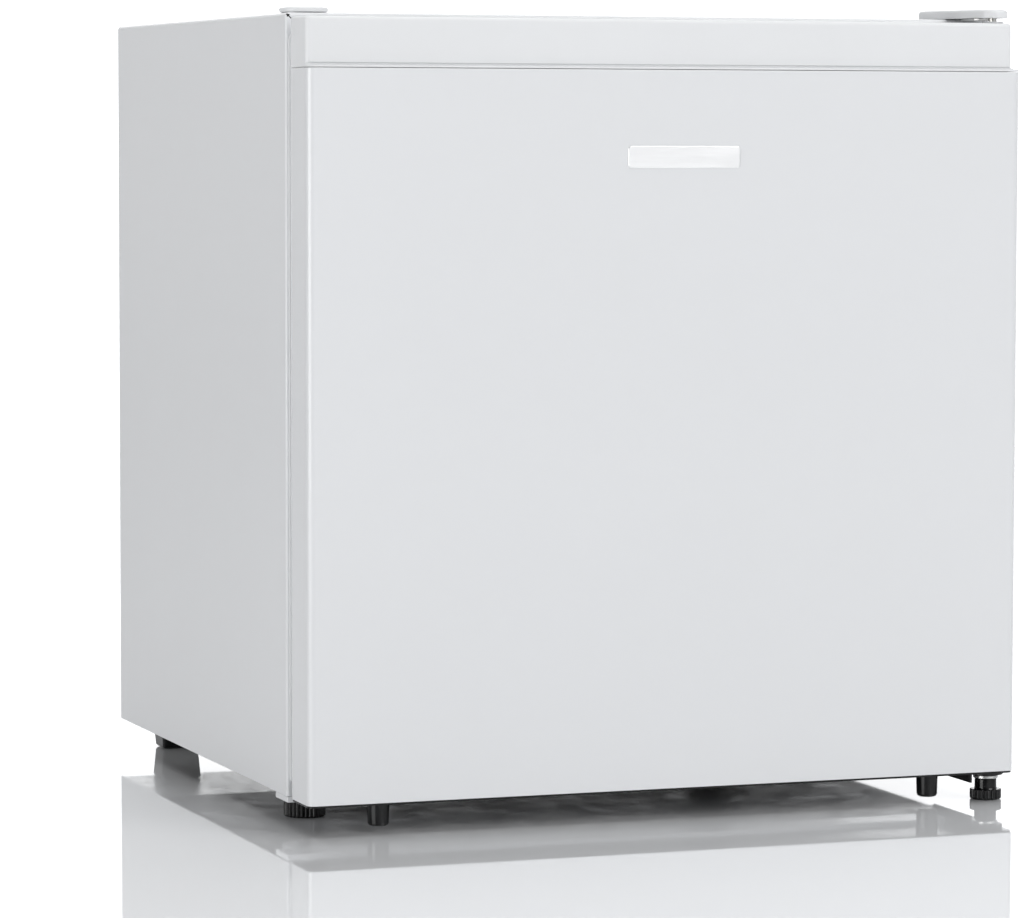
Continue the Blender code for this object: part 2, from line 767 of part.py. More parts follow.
def screw(name, place, up):
    """A pan-head screw whose head rests on a plate; up is +1 or -1 for the way the head faces."""
    x, y, z = place
    head, low = z + up * SCREW_HEAD, z + up * FIT
    profile = [
        (0, low),
        (SCREW_RADIUS, low),
        (SCREW_RADIUS, low + up * 0.0006),
        (SCREW_RADIUS * 0.6, head),
        (0, head),
    ]
    shape = turned(profile, (x, y, 0), "Z", 16)
    slots = [
        box((x - a, x + a), (y - b, y + b), sorted((head - up * 0.0007, head + up * 0.002)))
        for a, b in ((0.0017, 0.0004), (0.0004, 0.0017))
    ]
    return piece(name, cut(shape, *slots), zinc())


def blank_hinge_cap():
    """Covers the spare hinge holes at the other end of the cabinet top."""
    x = (-SIDE + 0.002, -SIDE + 0.030)
    y = (CABINET_FRONT + 0.0015, CABINET_FRONT + 0.0275)
    top = CABINET_TOP + 0.0037
    cap = prism(rounded(rectangle(x, y, 0.009), 5), (CABINET_TOP + FIT + 0.0009, top), "Z")
    bevelled(cap, lambda a, b: near(a.z, top) and near(b.z, top), 0.0012, 2)
    neck = prism(
        rounded(rectangle((x[0] + 0.0025, x[1] - 0.0025), (y[0] + 0.0025, y[1] - 0.0025), 0.0065), 5),
        (CABINET_TOP + FIT, top - 0.001),
        "Z",
    )
    return piece("blank_hinge_cap", joined(cap, neck), white_plastic())


def arm_bottom():
    return DOOR_BOTTOM - 0.0037


def lower_pin_top():
    return DOOR_BOTTOM + BUSH_LENGTH


def lower_hinge_bracket():
    """A folded arm under the cabinet corner, with a hanging flange along its inner edge."""
    high = CABINET_CLEARANCE - FIT - BRACKET
    line = [
        (HINGE_Y - HINGE_ARM_HALF - 0.001, arm_bottom()),
        (DOOR_BACK + 0.001, arm_bottom()),
        (CABINET_FRONT - 0.001, high),
        (CABINET_FRONT + BRACKET_BACK, high),
    ]
    sheet = prism(strip(line, BRACKET), (SIDE - 0.080, SIDE), "X")
    left, right = HINGE_X - HINGE_ARM_HALF, HINGE_X + HINGE_ARM_HALF
    pin = Vector((HINGE_X, HINGE_Y))
    tip = [
        tuple(pin + Vector((math.cos(a), math.sin(a))) * HINGE_ARM_HALF) for a in (math.pi * (1 + i / 10)
        for i in range(11))
    ]
    foot, back = CABINET_FRONT + BRACKET_FOOT, CABINET_FRONT + BRACKET_BACK
    plan = tip + [(right, back), (SIDE - 0.078, back), (SIDE - 0.078, foot), (left, foot)]
    arm = common(sheet, prism(plan, (0, 0.03), "Z"))
    flange = box((left, left + 0.0016), (HINGE_Y, foot), (arm_bottom() - 0.0055, arm_bottom() + 0.001))
    hole = disc(LOWER_PIN_RADIUS + FIT, (0, 0.05), (HINGE_X, HINGE_Y), 20)
    return piece("lower_hinge_bracket", cut(joined(arm, flange), hole), black_paint())


def lower_hinge_pin():
    """A hollow pin in the bracket; the foot's screw goes up inside it."""
    bore = HINGE_STUD_RADIUS + FIT
    low, shoulder = arm_bottom() - FIT, arm_bottom() + BRACKET + FIT
    profile = [(bore, low), (LOWER_PIN_RADIUS, low), (LOWER_PIN_RADIUS, shoulder), (0.0052, shoulder)]
    profile += [(0.0052, DOOR_BOTTOM - FIT), (LOWER_PIN_RADIUS, DOOR_BOTTOM - FIT)]
    profile += [(LOWER_PIN_RADIUS, lower_pin_top()), (bore, lower_pin_top())]
    return piece("lower_hinge_pin", turned(profile, (HINGE_X, HINGE_Y, 0), "Z", 20), zinc())


def foot_lock_washer():
    top = arm_bottom() - 2 * FIT
    bore = HINGE_STUD_RADIUS + FIT
    profile = [
        (bore, HINGE_FOOT_STEM_TOP + FIT), (0.008, HINGE_FOOT_STEM_TOP + FIT), (0.008, top), (bore, top)
    ]
    return piece("foot_lock_washer", turned(profile, (HINGE_X, HINGE_Y, 0), "Z", 24), zinc())


# Door ------------------------------------------------------------------------------------------------


def door_plan(inset, corner, back):
    """The plan outline of the door, inset from its front and sides."""
    x = SIDE - inset
    return rounded(
        [(-x, DOOR_FACE + inset, corner), (x, DOOR_FACE + inset, corner), (x, back, 0), (-x, back, 0)], 4
    )


def badge_recess(margin):
    """The badge's outline, grown by a margin."""
    x, z = BADGE_SIZE[0] / 2 + margin, BADGE_SIZE[1] / 2 + margin
    return rounded(
        rectangle((BADGE_CENTRE_X - x, BADGE_CENTRE_X + x), (BADGE_Z - z, BADGE_Z + z), min(z, 0.002)), 3
    )


def door_skin(door):
    """The steel front folded round both sides, with a short return at the back and a seat for the badge."""
    skin = prism(door_plan(0, DOOR_CORNER, DOOR_BACK), (DOOR_BOTTOM, PANEL_TOP), "Z")
    hollow = prism(
        door_plan(DOOR_SKIN, DOOR_CORNER - DOOR_SKIN, DOOR_BACK - DOOR_SKIN),
        (DOOR_BOTTOM - EXTRA, PANEL_TOP + EXTRA),
        "Z",
    )
    mouth_x = SIDE - DOOR_RETURN
    mouth = box(
        (-mouth_x, mouth_x),
        (DOOR_BACK - 2 * EXTRA / 3, DOOR_BACK + EXTRA),
        (DOOR_BOTTOM - EXTRA, PANEL_TOP + EXTRA),
    )
    seat = prism(badge_recess(FIT), (DOOR_FACE - EXTRA, DOOR_FACE + BADGE_SEAT), "Y")
    return piece("door_skin", cut(skin, hollow, mouth, seat), enamel(), door)


def badge(door):
    """A plain satin bar with nothing on it."""
    bar = prism(badge_recess(0), (FRONT, DOOR_FACE + BADGE_SEAT - FIT), "Y")
    bevelled(bar, lambda a, b: near(a.y, FRONT) and near(b.y, FRONT), 0.0003, 1)
    return piece("badge", bar, satin_metal(), door)


def bush_hole(z):
    return disc(PIN_RADIUS + RUNNING + BUSH_WALL + FIT, z, (HINGE_X, HINGE_Y), 24)


def trim_block():
    """The strip's outer form: a front set back above a concave scoop and a thin foot flush with the panel."""
    face = DOOR_FACE + TRIM_SETBACK
    low = PANEL_TOP + FIT
    foot = low + TRIM_FOOT
    turns = [math.pi / 2 * i / 6 for i in range(1, 7)]
    arc = [
        (DOOR_FACE + 0.0006 + (TRIM_SETBACK - 0.0006) * math.sin(a), foot + TRIM_SCOOP * (1 - math.cos(a)), 0)
        for a in turns
    ]
    back = [(DOOR_BACK, DOOR_TOP, 0.002), (DOOR_BACK, foot, 0)]
    side = rounded([(DOOR_FACE + 0.0006, foot, 0), *arc, (face, DOOR_TOP, 0.003), *back])
    block = prism(side, (-SIDE, SIDE), "X")
    right = SIDE - TRIM_INSET_RIGHT
    front = rounded(
        [
            (-SIDE, DOOR_TOP, 0.003),
            (-SIDE, low, 0),
            (SIDE, low, 0),
            (SIDE, foot, 0),
            (right, foot + TRIM_SCOOP, 0),
            (right - TRIM_DRAFT, DOOR_TOP, 0.003),
        ]
    )
    block = common(block, prism(front, (DOOR_FACE - EXTRA, DOOR_BACK + EXTRA), "Y"))
    sole = prism(door_plan(0, DOOR_CORNER, DOOR_BACK), (low, foot + 0.0001), "Z")
    return joined(block, sole)


def door_top_trim(door):
    """The strip on the door's top: hollow from below, with a grip pocket and a boss for the bush."""
    face = DOOR_FACE + TRIM_SETBACK
    low, wall = PANEL_TOP + FIT, PLASTIC
    left, right = -SIDE, SIDE - TRIM_INSET_RIGHT - TRIM_DRAFT
    hollow = box(
        (left + wall, right - wall), (face + wall, DOOR_BACK - wall), (low - EXTRA, DOOR_TOP - wall)
    )
    block = cut(trim_block(), hollow)
    grip_x = (left + GRIP_OFFSET, left + GRIP_OFFSET + GRIP_WIDTH)
    grip_y = (face + GRIP_LEDGE, face + GRIP_LEDGE + GRIP_DEPTH)
    grip_z = DOOR_TOP - TRIM_HEIGHT + GRIP_FLOOR
    pocket = box(
        (grip_x[0] - wall, grip_x[1] + wall), (grip_y[0] - wall, grip_y[1] + wall), (
            grip_z - wall, DOOR_TOP - wall / 2
        )
    )
    block = joined(block, pocket)
    block = cut(block, prism(rounded(rectangle(grip_x, grip_y, 0.005), 3), (grip_z, DOOR_TOP + EXTRA), "Z"))
    boss = disc(
        PIN_RADIUS + RUNNING + BUSH_WALL + FIT + 0.0022,
        (low + 0.004, DOOR_TOP - wall / 2),
        (HINGE_X, HINGE_Y),
        24,
    )
    block = cut(joined(block, boss), bush_hole((low - EXTRA, DOOR_TOP + EXTRA)))
    return piece("door_top_trim", block, white_plastic(), door)


def door_stub(x):
    """A tapered post that hangs from the door, clear of the floor."""
    centre = (x, DOOR_FACE + STUB_SETBACK, 0)
    profile = [
        (0, STUB_LOW),
        (STUB_RADIUS - 0.0022, STUB_LOW),
        (STUB_RADIUS - 0.001, STUB_LOW + 0.0006),
        (STUB_RADIUS - 0.0005, STUB_LOW + 0.0018),
        (STUB_RADIUS, DOOR_BOTTOM + PLASTIC / 2),
        (0, DOOR_BOTTOM + PLASTIC / 2),
    ]
    return turned(profile, centre, "Z", 24)


def door_bottom_cap(door):
    """The tray that closes the foot of the door skin, holds the lower bush and carries two posts."""
    gap = DOOR_SKIN + FIT
    x = SIDE - gap
    plan = door_plan(gap, DOOR_CORNER - DOOR_SKIN, DOOR_BACK - gap)
    body = prism(plan, (DOOR_BOTTOM - CAP_DROP, DOOR_BOTTOM + BUSH_LENGTH), "Z")
    hollow = box(
        (-x + PLASTIC, x - 0.022),
        (DOOR_FACE + gap + PLASTIC, DOOR_BACK - gap - PLASTIC),
        (DOOR_BOTTOM + PLASTIC, DOOR_BOTTOM + BUSH_LENGTH + EXTRA),
    )
    sole = prism(
        door_plan(CAP_SOLE_INSET, DOOR_CORNER - CAP_SOLE_INSET, DOOR_BACK - CAP_SOLE_INSET),
        (DOOR_BOTTOM - CAP_DROP, DOOR_BOTTOM - FIT),
        "Z",
    )
    body = joined(cut(body, hollow), sole, door_stub(STUB_LEFT - SIDE), door_stub(SIDE - STUB_RIGHT))
    hole = disc(
        LOWER_PIN_RADIUS + RUNNING + 0.0018 + FIT,
        (0, DOOR_BOTTOM + 2 * BUSH_LENGTH),
        (HINGE_X, HINGE_Y),
        24,
    )
    return piece("door_bottom_cap", cut(body, hole), black_plastic(), door)


def door_bush_upper(door):
    outer = PIN_RADIUS + RUNNING + BUSH_WALL
    bore = PIN_RADIUS + RUNNING
    flange = outer + 0.0018
    top = DOOR_TOP + FIT + 0.0008
    profile = [
        (bore, DOOR_TOP - BUSH_LENGTH - 0.004),
        (outer, DOOR_TOP - BUSH_LENGTH - 0.004),
        (outer, DOOR_TOP + FIT),
    ]
    profile += [(flange, DOOR_TOP + FIT), (flange, top), (bore, top)]
    return piece("door_bush_upper", turned(profile, (HINGE_X, HINGE_Y, 0), "Z", 24), white_plastic(), door)


def door_bush_lower(door):
    outer = LOWER_PIN_RADIUS + RUNNING + 0.0018
    bore = LOWER_PIN_RADIUS + RUNNING
    profile = [(bore, DOOR_BOTTOM), (outer, DOOR_BOTTOM), (outer, lower_pin_top()), (bore, lower_pin_top())]
    return piece("door_bush_lower", turned(profile, (HINGE_X, HINGE_Y, 0), "Z", 24), black_plastic(), door)


def door_foam(door):
    gap = DOOR_SKIN + 2 * FIT
    low, high = DOOR_BOTTOM + BUSH_LENGTH + FIT, PANEL_TOP
    body = prism(door_plan(gap, DOOR_CORNER - DOOR_SKIN, DOOR_BACK - gap), (low, high), "Z")
    return piece("door_foam", body, foam(), door)


def ridge_box(margin, y):
    """A block inside the door's edges by a margin, at the height of the food space."""
    low = CAVITY_FLOOR + RIDGE_LIFT
    high = CAVITY_TOP - RIDGE_LIFT
    extra = margin - RIDGE_MARGIN
    x = SIDE - margin
    return box((-x, x), y, (low + extra, high - extra))


def door_liner(door):
    """The moulded inner face of the door, with a raised ridge that carries the racks on lugs."""
    plate = box(
        (-SIDE + 0.0035, SIDE - 0.0055), (DOOR_BACK + FIT, LINER_BACK), (
            DOOR_BOTTOM + 0.004, DOOR_TOP - 0.004
        )
    )
    plate = cut(
        plate, box((HINGE_X - 0.009, SIDE), (DOOR_BACK - EXTRA, CABINET_FRONT), (0, DOOR_BOTTOM + 0.012))
    )
    ridge = ridge_box(RIDGE_MARGIN, (LINER_BACK - LINER / 2, LINER_BACK + RIDGE_HEIGHT))
    well = ridge_box(RIDGE_MARGIN + RIDGE_WIDTH, (LINER_BACK - LINER / 4, LINER_BACK + 2 * RIDGE_HEIGHT))
    ridge = bevelled(ridge, lambda a, b: a.y + b.y > 2 * LINER_BACK, 0.004, 2)
    body = joined(plate, cut(ridge, well))
    well_x = SIDE - RIDGE_MARGIN - RIDGE_WIDTH
    for low, _ in RACKS.values():
        for side in (-1, 1):
            x = sorted((side * (well_x - 0.006), side * (well_x + 0.002)))
            body = joined(
                body, box(x, (LINER_BACK - LINER / 4, LINER_BACK + 0.018), (low - FIT - 0.006, low - FIT))
            )
    return piece("door_liner", body, liner_plastic(), door)


def door_gasket(door):
    """A magnetic seal: a frame with a groove round its outer face."""
    front, back = LINER_BACK + FIT, CABINET_FRONT - FIT
    middle = (front + back) / 2
    left, right = GASKET_MARGIN_LEFT - SIDE, SIDE - GASKET_MARGIN
    low, high = DOOR_BOTTOM + GASKET_MARGIN, CABINET_TOP - GASKET_MARGIN - 0.004

    def slab(inset, radius, y):
        return prism(
            rounded(rectangle((left + inset, right - inset), (low + inset, high - inset), radius), 3), y, "Y"
        )

    frame = joined(
        slab(0.0, 0.004, (front, middle - GASKET_GROOVE / 2)),
        slab(GASKET_GROOVE, 0.003, (front + GASKET_GROOVE / 2, back - GASKET_GROOVE / 2)),
        slab(0.0, 0.004, (middle + GASKET_GROOVE / 2, back)),
    )
    hole = slab(GASKET_WIDTH, 0.002, (front - EXTRA, back + EXTRA))
    return piece("door_gasket", cut(frame, hole), gasket_vinyl(), door)


RACKS = {
    "rack_upper": (CAVITY_FLOOR + RACK_UPPER_RISE, RACK_UPPER_HEIGHT),
    "rack_lower": (CAVITY_FLOOR + RACK_LOWER_RISE, RACK_LOWER_HEIGHT),
}  # lower edge and height of each


def rack(name, door):
    """A clear bottle rack between the liner's ridges, resting on its lugs."""
    low, height = RACKS[name]
    x = SIDE - RIDGE_MARGIN - RIDGE_WIDTH - FIT
    y = (LINER_BACK + FIT, LINER_BACK + FIT + RACK_DEPTH)
    corner = 0.012
    plan = rounded([(-x, y[0], 0), (x, y[0], 0), (x, y[1], corner), (-x, y[1], corner)], 4)
    tray = prism(plan, (low, low + height), "Z")
    inner = rounded(
        [
            (-x + RACK_WALL, y[0] + RACK_WALL, 0),
            (x - RACK_WALL, y[0] + RACK_WALL, 0),
            (x - RACK_WALL, y[1] - RACK_WALL, corner - RACK_WALL),
            (-x + RACK_WALL, y[1] - RACK_WALL, corner - RACK_WALL),
        ],
        4,
    )
    hollow = prism(inner, (low + RACK_WALL, low + height + EXTRA), "Z")
    tray = cut(tray, hollow)
    behind = box(
        (-x - EXTRA, x + EXTRA),
        (y[0] - EXTRA, y[0] + RACK_WALL + 0.001),
        (low + height * 0.55, low + height + EXTRA),
    )
    return piece(name, cut(tray, behind), clear_plastic(), door, origin=(0, y[0], low))


# Inside ----------------------------------------------------------------------------------------------


def evaporator():
    """The cold box: a folded aluminium sheet, open at the front."""
    t = FREEZER_SHEET
    outer = prism(
        rounded(rectangle((FREEZER_LEFT, FREEZER_RIGHT), (FREEZER_BOTTOM, FREEZER_TOP), 0.006), 3),
        (FREEZER_FRONT, FREEZER_BACK),
        "Y",
    )
    bore = rectangle(
        (FREEZER_LEFT + t, FREEZER_RIGHT - t), (FREEZER_BOTTOM + t, FREEZER_TOP - t), 0.006 - t
    )
    inner = prism(
        rounded(bore, 3),
        (FREEZER_FRONT - EXTRA, FREEZER_BACK - t),
        "Y",
    )
    return piece("evaporator", cut(outer, inner), aluminium())


def flap_span():
    """(left, right, low, high) of the opening in the freezer frame."""
    return (
        FREEZER_LEFT + FREEZER_SHEET + 0.001,
        FREEZER_RIGHT - FREEZER_SHEET - 0.001,
        FREEZER_BOTTOM + 0.003,
        FREEZER_TOP - 0.003,
    )


def flap_axis_z():
    return flap_span()[2] + 0.004


def freezer_frame():
    """The plastic surround of the cold box, with the pivots of the flap and the rails of the drip tray."""
    left, right, low, high = flap_span()
    y = (FREEZER_FRONT - FIT - FRAME_DEPTH, FREEZER_FRONT - FIT)
    frame = box(
        (left - FRAME_BORDER, right + FRAME_BORDER), y, (FREEZER_BOTTOM - 0.002, FREEZER_TOP + 0.002)
    )
    hole = box((left, right), (y[0] - EXTRA, y[1] + EXTRA), (low, high))
    frame = cut(frame, hole)
    rail_top = FREEZER_BOTTOM - FIT
    lip = tray_top() - RAIL - FIT
    for x, way in ((left - FRAME_BORDER, 1), (right + FRAME_BORDER, -1)):
        web = box(sorted((x, x + way * RAIL)), (y[0], FREEZER_BACK - 0.01), (lip - RAIL, rail_top))
        ledge = box(sorted((x, x + way * 0.008)), (y[0], FREEZER_BACK - 0.01), (lip - RAIL, lip))
        frame = joined(frame, joined(web, ledge))
    pivots = turned(
        [(0, -1), (FLAP_PIN + FIT, -1), (FLAP_PIN + FIT, 1), (0, 1)], (0, FLAP_Y, flap_axis_z()), "X", 16
    )
    reach = box((left - 0.003, right + 0.003), (y[0] - EXTRA, y[1] + EXTRA), (0, HEIGHT))
    return piece("freezer_frame", cut(frame, common(pivots, reach)), white_plastic())


def freezer_flap():
    """The cold box's door: it tips forward on two pins at its lower edge."""
    left, right, low, high = flap_span()
    z = flap_axis_z()
    x = (left + FLAP_GAP, right - FLAP_GAP)
    plate = box(x, (FLAP_Y - 0.0018, FLAP_Y + 0.0018), (z - 0.0015, high - FLAP_GAP))
    bevelled(plate, lambda a, b: near(a.y, FLAP_Y - 0.0018) and near(b.y, FLAP_Y - 0.0018), 0.0008, 1)
    lip = box(
        ((x[0] + x[1]) / 2 - 0.03, (x[0] + x[1]) / 2 + 0.03),
        (FLAP_Y - 0.009, FLAP_Y),
        (high - FLAP_GAP - 0.010, high - FLAP_GAP - 0.0075),
    )
    pin_reach = (x[1] - x[0]) / 2 + FLAP_GAP + 0.0022
    middle = (left + right) / 2
    axis = (middle, FLAP_Y, z)
    profile = [(0, -pin_reach), (FLAP_PIN, -pin_reach), (FLAP_PIN, pin_reach), (0, pin_reach)]
    pins = turned(profile, axis, "X", 16)
    return piece("freezer_flap", joined(plate, lip, pins), clear_plastic(), origin=axis)


def tray_top():
    return FREEZER_BOTTOM - TRAY_DROP


def drip_tray():
    """A shallow tray that hangs by its side lips and slides out forwards."""
    left, right, _, _ = flap_span()
    inset = FRAME_BORDER - RAIL - FIT - 0.0002
    lip_x = (left - inset, right + inset)
    pan_x = (lip_x[0] + 0.0072, lip_x[1] - 0.0072)
    y = (FREEZER_FRONT - 0.006, FREEZER_BACK - 0.012)
    top = tray_top()
    pan = prism(rounded(rectangle(pan_x, y, 0.006), 3), (top - TRAY_DEPTH, top), "Z")
    lip = prism(rounded(rectangle(lip_x, y, 0.003), 2), (top - RAIL, top), "Z")
    inner = prism(
        rounded(
            rectangle((pan_x[0] + 0.0015, pan_x[1] - 0.0015), (y[0] + 0.0015, y[1] - 0.0015), 0.0045), 3
        ),
        (top - TRAY_DEPTH + 0.0015, top + EXTRA),
        "Z",
    )
    return piece("drip_tray", cut(joined(pan, lip), inner), clear_plastic(), origin=(0, y[0], top))


def shelf_glass():
    """The sliding glass shelf over the step."""
    x = CAVITY_X - 2 * FIT - 0.0006
    y = (SHELF_FRONT + SHELF_TRIM_DEPTH, CAVITY_BACK - LINER_CORNER - 0.0015)
    pane = prism(rounded(rectangle((-x, x), y, 0.006), 2), (SHELF_Z, SHELF_Z + SHELF_THICKNESS), "Z")
    return piece("shelf_glass", pane, shelf_glass_finish(), origin=(0, y[0], SHELF_Z))


def shelf_front_trim():
    """The moulded nose along the front of the glass."""
    x = CAVITY_X - 2 * FIT - 0.0006
    nose = SHELF_Z + SHELF_THICKNESS / 2
    front, back = SHELF_FRONT, SHELF_FRONT + SHELF_TRIM_DEPTH - FIT
    outline = rounded(
        [
            (front, nose - 0.006 + 0.004, 0.0015),
            (back, nose - 0.006 + 0.004, 0),
            (back, nose + 0.006, 0),
            (front, nose + 0.006, 0.003),
        ],
        3,
    )
    return piece("shelf_front_trim", prism(outline, (-x, x), "X"), white_plastic(), origin=(0, front, nose))


def knob_place():
    return (CAVITY_X - 0.029, CABINET_FRONT + 0.107, CAVITY_TOP - 0.032)


def thermostat_housing():
    """The control box on the right wall, under the ceiling."""
    x, y, z = knob_place()
    shape = prism(
        rounded(
            [
                (CAVITY_X - 0.0565, z - 0.027, 0.006),
                (CAVITY_X - FIT, z - 0.027, 0),
                (CAVITY_X - FIT, CAVITY_TOP - FIT, 0),
                (CAVITY_X - 0.0565, CAVITY_TOP - FIT, 0),
            ],
            3,
        ),
        (y, y + 0.065),
        "Y",
    )
    hole = turned([(0, -0.012), (0.0045, -0.012), (0.0045, 0.012), (0, 0.012)], (x, y, z), "Y", 20)
    return piece("thermostat_housing", cut(shape, hole), white_plastic())


def thermostat_knob():
    """A turned knob with a grip bar across its face, on a short spindle."""
    x, y, z = knob_place()
    base = y - FIT
    profile = [(0, -0.010), (0.0042, -0.010), (0.0042, 0.0), (KNOB_RADIUS, 0.0), (KNOB_RADIUS, 0.0045)]
    profile += [(KNOB_RADIUS - 0.001, 0.0055), (0, 0.0055)]
    body = turned(profile, (x, base, z), "Y", 32)
    bar = box(
        (x - 0.003, x + 0.003),
        (base - KNOB_LENGTH, base - 0.004),
        (z - KNOB_RADIUS + 0.002, z + KNOB_RADIUS - 0.002),
    )
    return piece("thermostat_knob", joined(body, bar), white_plastic(), origin=(x, base, z))


# Refrigeration ---------------------------------------------------------------------------------------


def compressor_bottom():
    return MOUNT_PLATE_BOTTOM + 0.0022 + FIT


def compressor_housing():
    """Two pressed steel halves with the weld seam standing proud."""
    low = compressor_bottom()
    sx, sy, height = COMPRESSOR_SIZE
    seam = low + height * 0.55
    radius = sx / 2 - 0.003
    profile = [(0, low), (radius * 0.55, low)]
    for i in range(1, 5):
        angle = math.pi / 2 * i / 4
        profile.append((radius * (0.55 + 0.45 * math.sin(angle)), low + 0.028 * (1 - math.cos(angle))))
    profile += [
        (radius, seam - 0.002), (sx / 2, seam - 0.002), (sx / 2, seam + 0.002), (radius, seam + 0.002)
    ]
    for i in range(1, 6):
        angle = math.pi / 2 * i / 5
        profile.append(
            (radius * math.cos(angle), low + height - (height - seam + low - 0.006) * (1 - math.sin(angle)))
        )
    profile[-1] = (0, low + height)
    shape = turned(profile, (0, 0, 0), "Z", 28)
    shape.data.transform(
        Matrix.Translation((COMPRESSOR_X, COMPRESSOR_Y, 0)) @ Matrix.Diagonal((1, sy / sx, 1, 1))
    )
    return piece("compressor_housing", shape, black_paint())


def grommet_places():
    sx, sy, _ = COMPRESSOR_SIZE
    return [
        (COMPRESSOR_X + i * (sx / 2 + 0.004), COMPRESSOR_Y + j * (sy / 2 - 0.012)) for i in (-1, 1) for j in (
            -1, 1
        )
    ]


def compressor_mount_plate():
    sx, sy, _ = COMPRESSOR_SIZE
    x, y = sx / 2 + 0.015, sy / 2 - 0.001
    plate = prism(
        rounded(
            rectangle((COMPRESSOR_X - x, COMPRESSOR_X + x), (COMPRESSOR_Y - y, COMPRESSOR_Y + y), 0.010), 3
        ),
        (MOUNT_PLATE_BOTTOM, MOUNT_PLATE_BOTTOM + 0.0022),
        "Z",
    )
    return piece("compressor_mount_plate", plate, black_paint())


def compressor_grommet(number, place):
    low, high = BASE_PLATE_TOP + FIT, MOUNT_PLATE_BOTTOM - FIT
    profile = [(0, low), (0.008, low), (0.0085, low + 0.003), (0.006, low + 0.0045), (0.0085, high - 0.003)]
    profile += [(0.008, high), (0, high)]
    return piece(f"compressor_grommet_{number}", turned(profile, (*place, 0), "Z", 16), rubber())


def relay_cover():
    x = COMPRESSOR_X + COMPRESSOR_SIZE[0] / 2 + 0.001
    outline = rounded(rectangle((x, x + 0.027), (COMPRESSOR_Y - 0.021, COMPRESSOR_Y + 0.021), 0.005), 3)
    low = compressor_bottom() + 0.034
    return piece("relay_cover", prism(outline, (low, low + 0.046), "Z"), black_plastic())


def drier_place():
    return (SIDE - 0.110, COMPRESSOR_Y + 0.018)


def filter_drier():
    """The filter in the liquid line: a copper bottle drawn in at both ends."""
    low = MOUNT_PLATE_BOTTOM + 0.045
    profile = [(0, low), (0.003, low), (0.0035, low + 0.008), (0.008, low + 0.016), (0.008, low + 0.062)]
    profile += [(0.0035, low + 0.070), (0.003, low + 0.078), (0, low + 0.078)]
    return piece("filter_drier", turned(profile, (*drier_place(), 0), "Z", 20), copper())


def suction_pipe():
    """From the compressor's left side up to the roof of the recess."""
    x = COMPRESSOR_X - COMPRESSOR_SIZE[0] / 2 - 0.002
    low = compressor_bottom() + 0.040
    top = RECESS_TOP - SHEET - 2 * FIT - 0.001
    route = [
        (x, COMPRESSOR_Y, low),
        (x - 0.014, COMPRESSOR_Y, low),
        (x - 0.024, COMPRESSOR_Y, low + 0.010),
        (x - 0.026, COMPRESSOR_Y, low + 0.030),
        (x - 0.026, COMPRESSOR_Y, top),
    ]
    return piece("suction_pipe", tube(smooth_path(route, 4), PIPE_RADIUS), copper())


def coil_bottom():
    return RECESS_TOP + 0.030


def discharge_pipe():
    """From the top of the filter bottle round to the foot of the condenser."""
    x, y = drier_place()
    start = MOUNT_PLATE_BOTTOM + 0.045 + 0.078 + 2 * FIT
    end_x = CAVITY_X - COIL_MARGIN_X + 0.035
    coil_y = coil_plane()
    route = [
        (x, y, start),
        (x, y, start + 0.006),
        (x + 0.010, y + 0.004, start + 0.013),
        (x + 0.030, coil_y - 0.010, start + 0.010),
        (end_x - 0.012, coil_y, start + 0.006),
        (end_x, coil_y, start + 0.018),
        (end_x, coil_y, coil_bottom() - FIT),
    ]
    return piece("discharge_pipe", tube(smooth_path(route, 4), COIL_RADIUS), copper())


def coil_plane():
    return REAR - 0.0016 - COIL_RADIUS


def condenser_coil():
    """The serpentine on the back, its runs level and its bends round."""
    left, right = -CAVITY_X + COIL_MARGIN_X, CAVITY_X - COIL_MARGIN_X
    low, high = coil_bottom(), CABINET_TOP - 0.035
    pitch = (high - low - 0.012) / (COIL_RUNS - 1)
    bend = pitch / 2
    y = coil_plane()
    end_x = right + 0.035
    path = [
        (end_x, y, low),
        (end_x, y, low + 0.004),
        (end_x - 0.004, y, low + 0.010),
        (end_x - 0.010, y, low + 0.012),
    ]
    for run in range(COIL_RUNS):
        z = low + 0.012 + run * pitch
        way = -1 if run % 2 == 0 else 1
        start, end = (right, left) if way < 0 else (left, right)
        path += [(start, y, z), (end, y, z)]
        if run < COIL_RUNS - 1:
            for i in range(1, 6):
                angle = math.pi * i / 6
                path.append((end + way * bend * math.sin(angle), y, z + bend * (1 - math.cos(angle))))
    return piece("condenser_coil", tube(path, COIL_RADIUS), black_paint())


def condenser_bracket(name, side):
    """An upright bar that holds the coil off the back, with a wall pad at each end."""
    x = side * (CAVITY_X - COIL_MARGIN_X - 0.030)
    low, high = coil_bottom() - 0.022, CABINET_TOP - 0.012
    bar_back = coil_plane() - COIL_RADIUS - FIT
    bar = box((x - 0.006, x + 0.006), (CABINET_REAR + FIT, bar_back), (low, high))
    pads = [
        box((x - 0.006, x + 0.006), (CABINET_REAR + FIT, REAR), z)
        for z in ((low, low + 0.018), (high - 0.018, high))
    ]
    return piece(name, joined(bar, *pads), black_plastic())


# Assembly --------------------------------------------------------------------------------------------


def clear_scene():
    for obj in list(bpy.data.objects):
        bpy.data.objects.remove(obj, do_unlink=True)


def make_cabinet():
    outer_shell()
    rear_panel()
    bottom_panel()
    front_base_rail()
    compressor_base()
    cable_gland()
    inner_liner()
    cabinet_foam()


def make_feet():
    foot_left()
    foot_socket_left()
    foot_right()
    for name, side in (("left", -1), ("right", 1)):
        rear_foot(f"rear_foot_{name}", side)


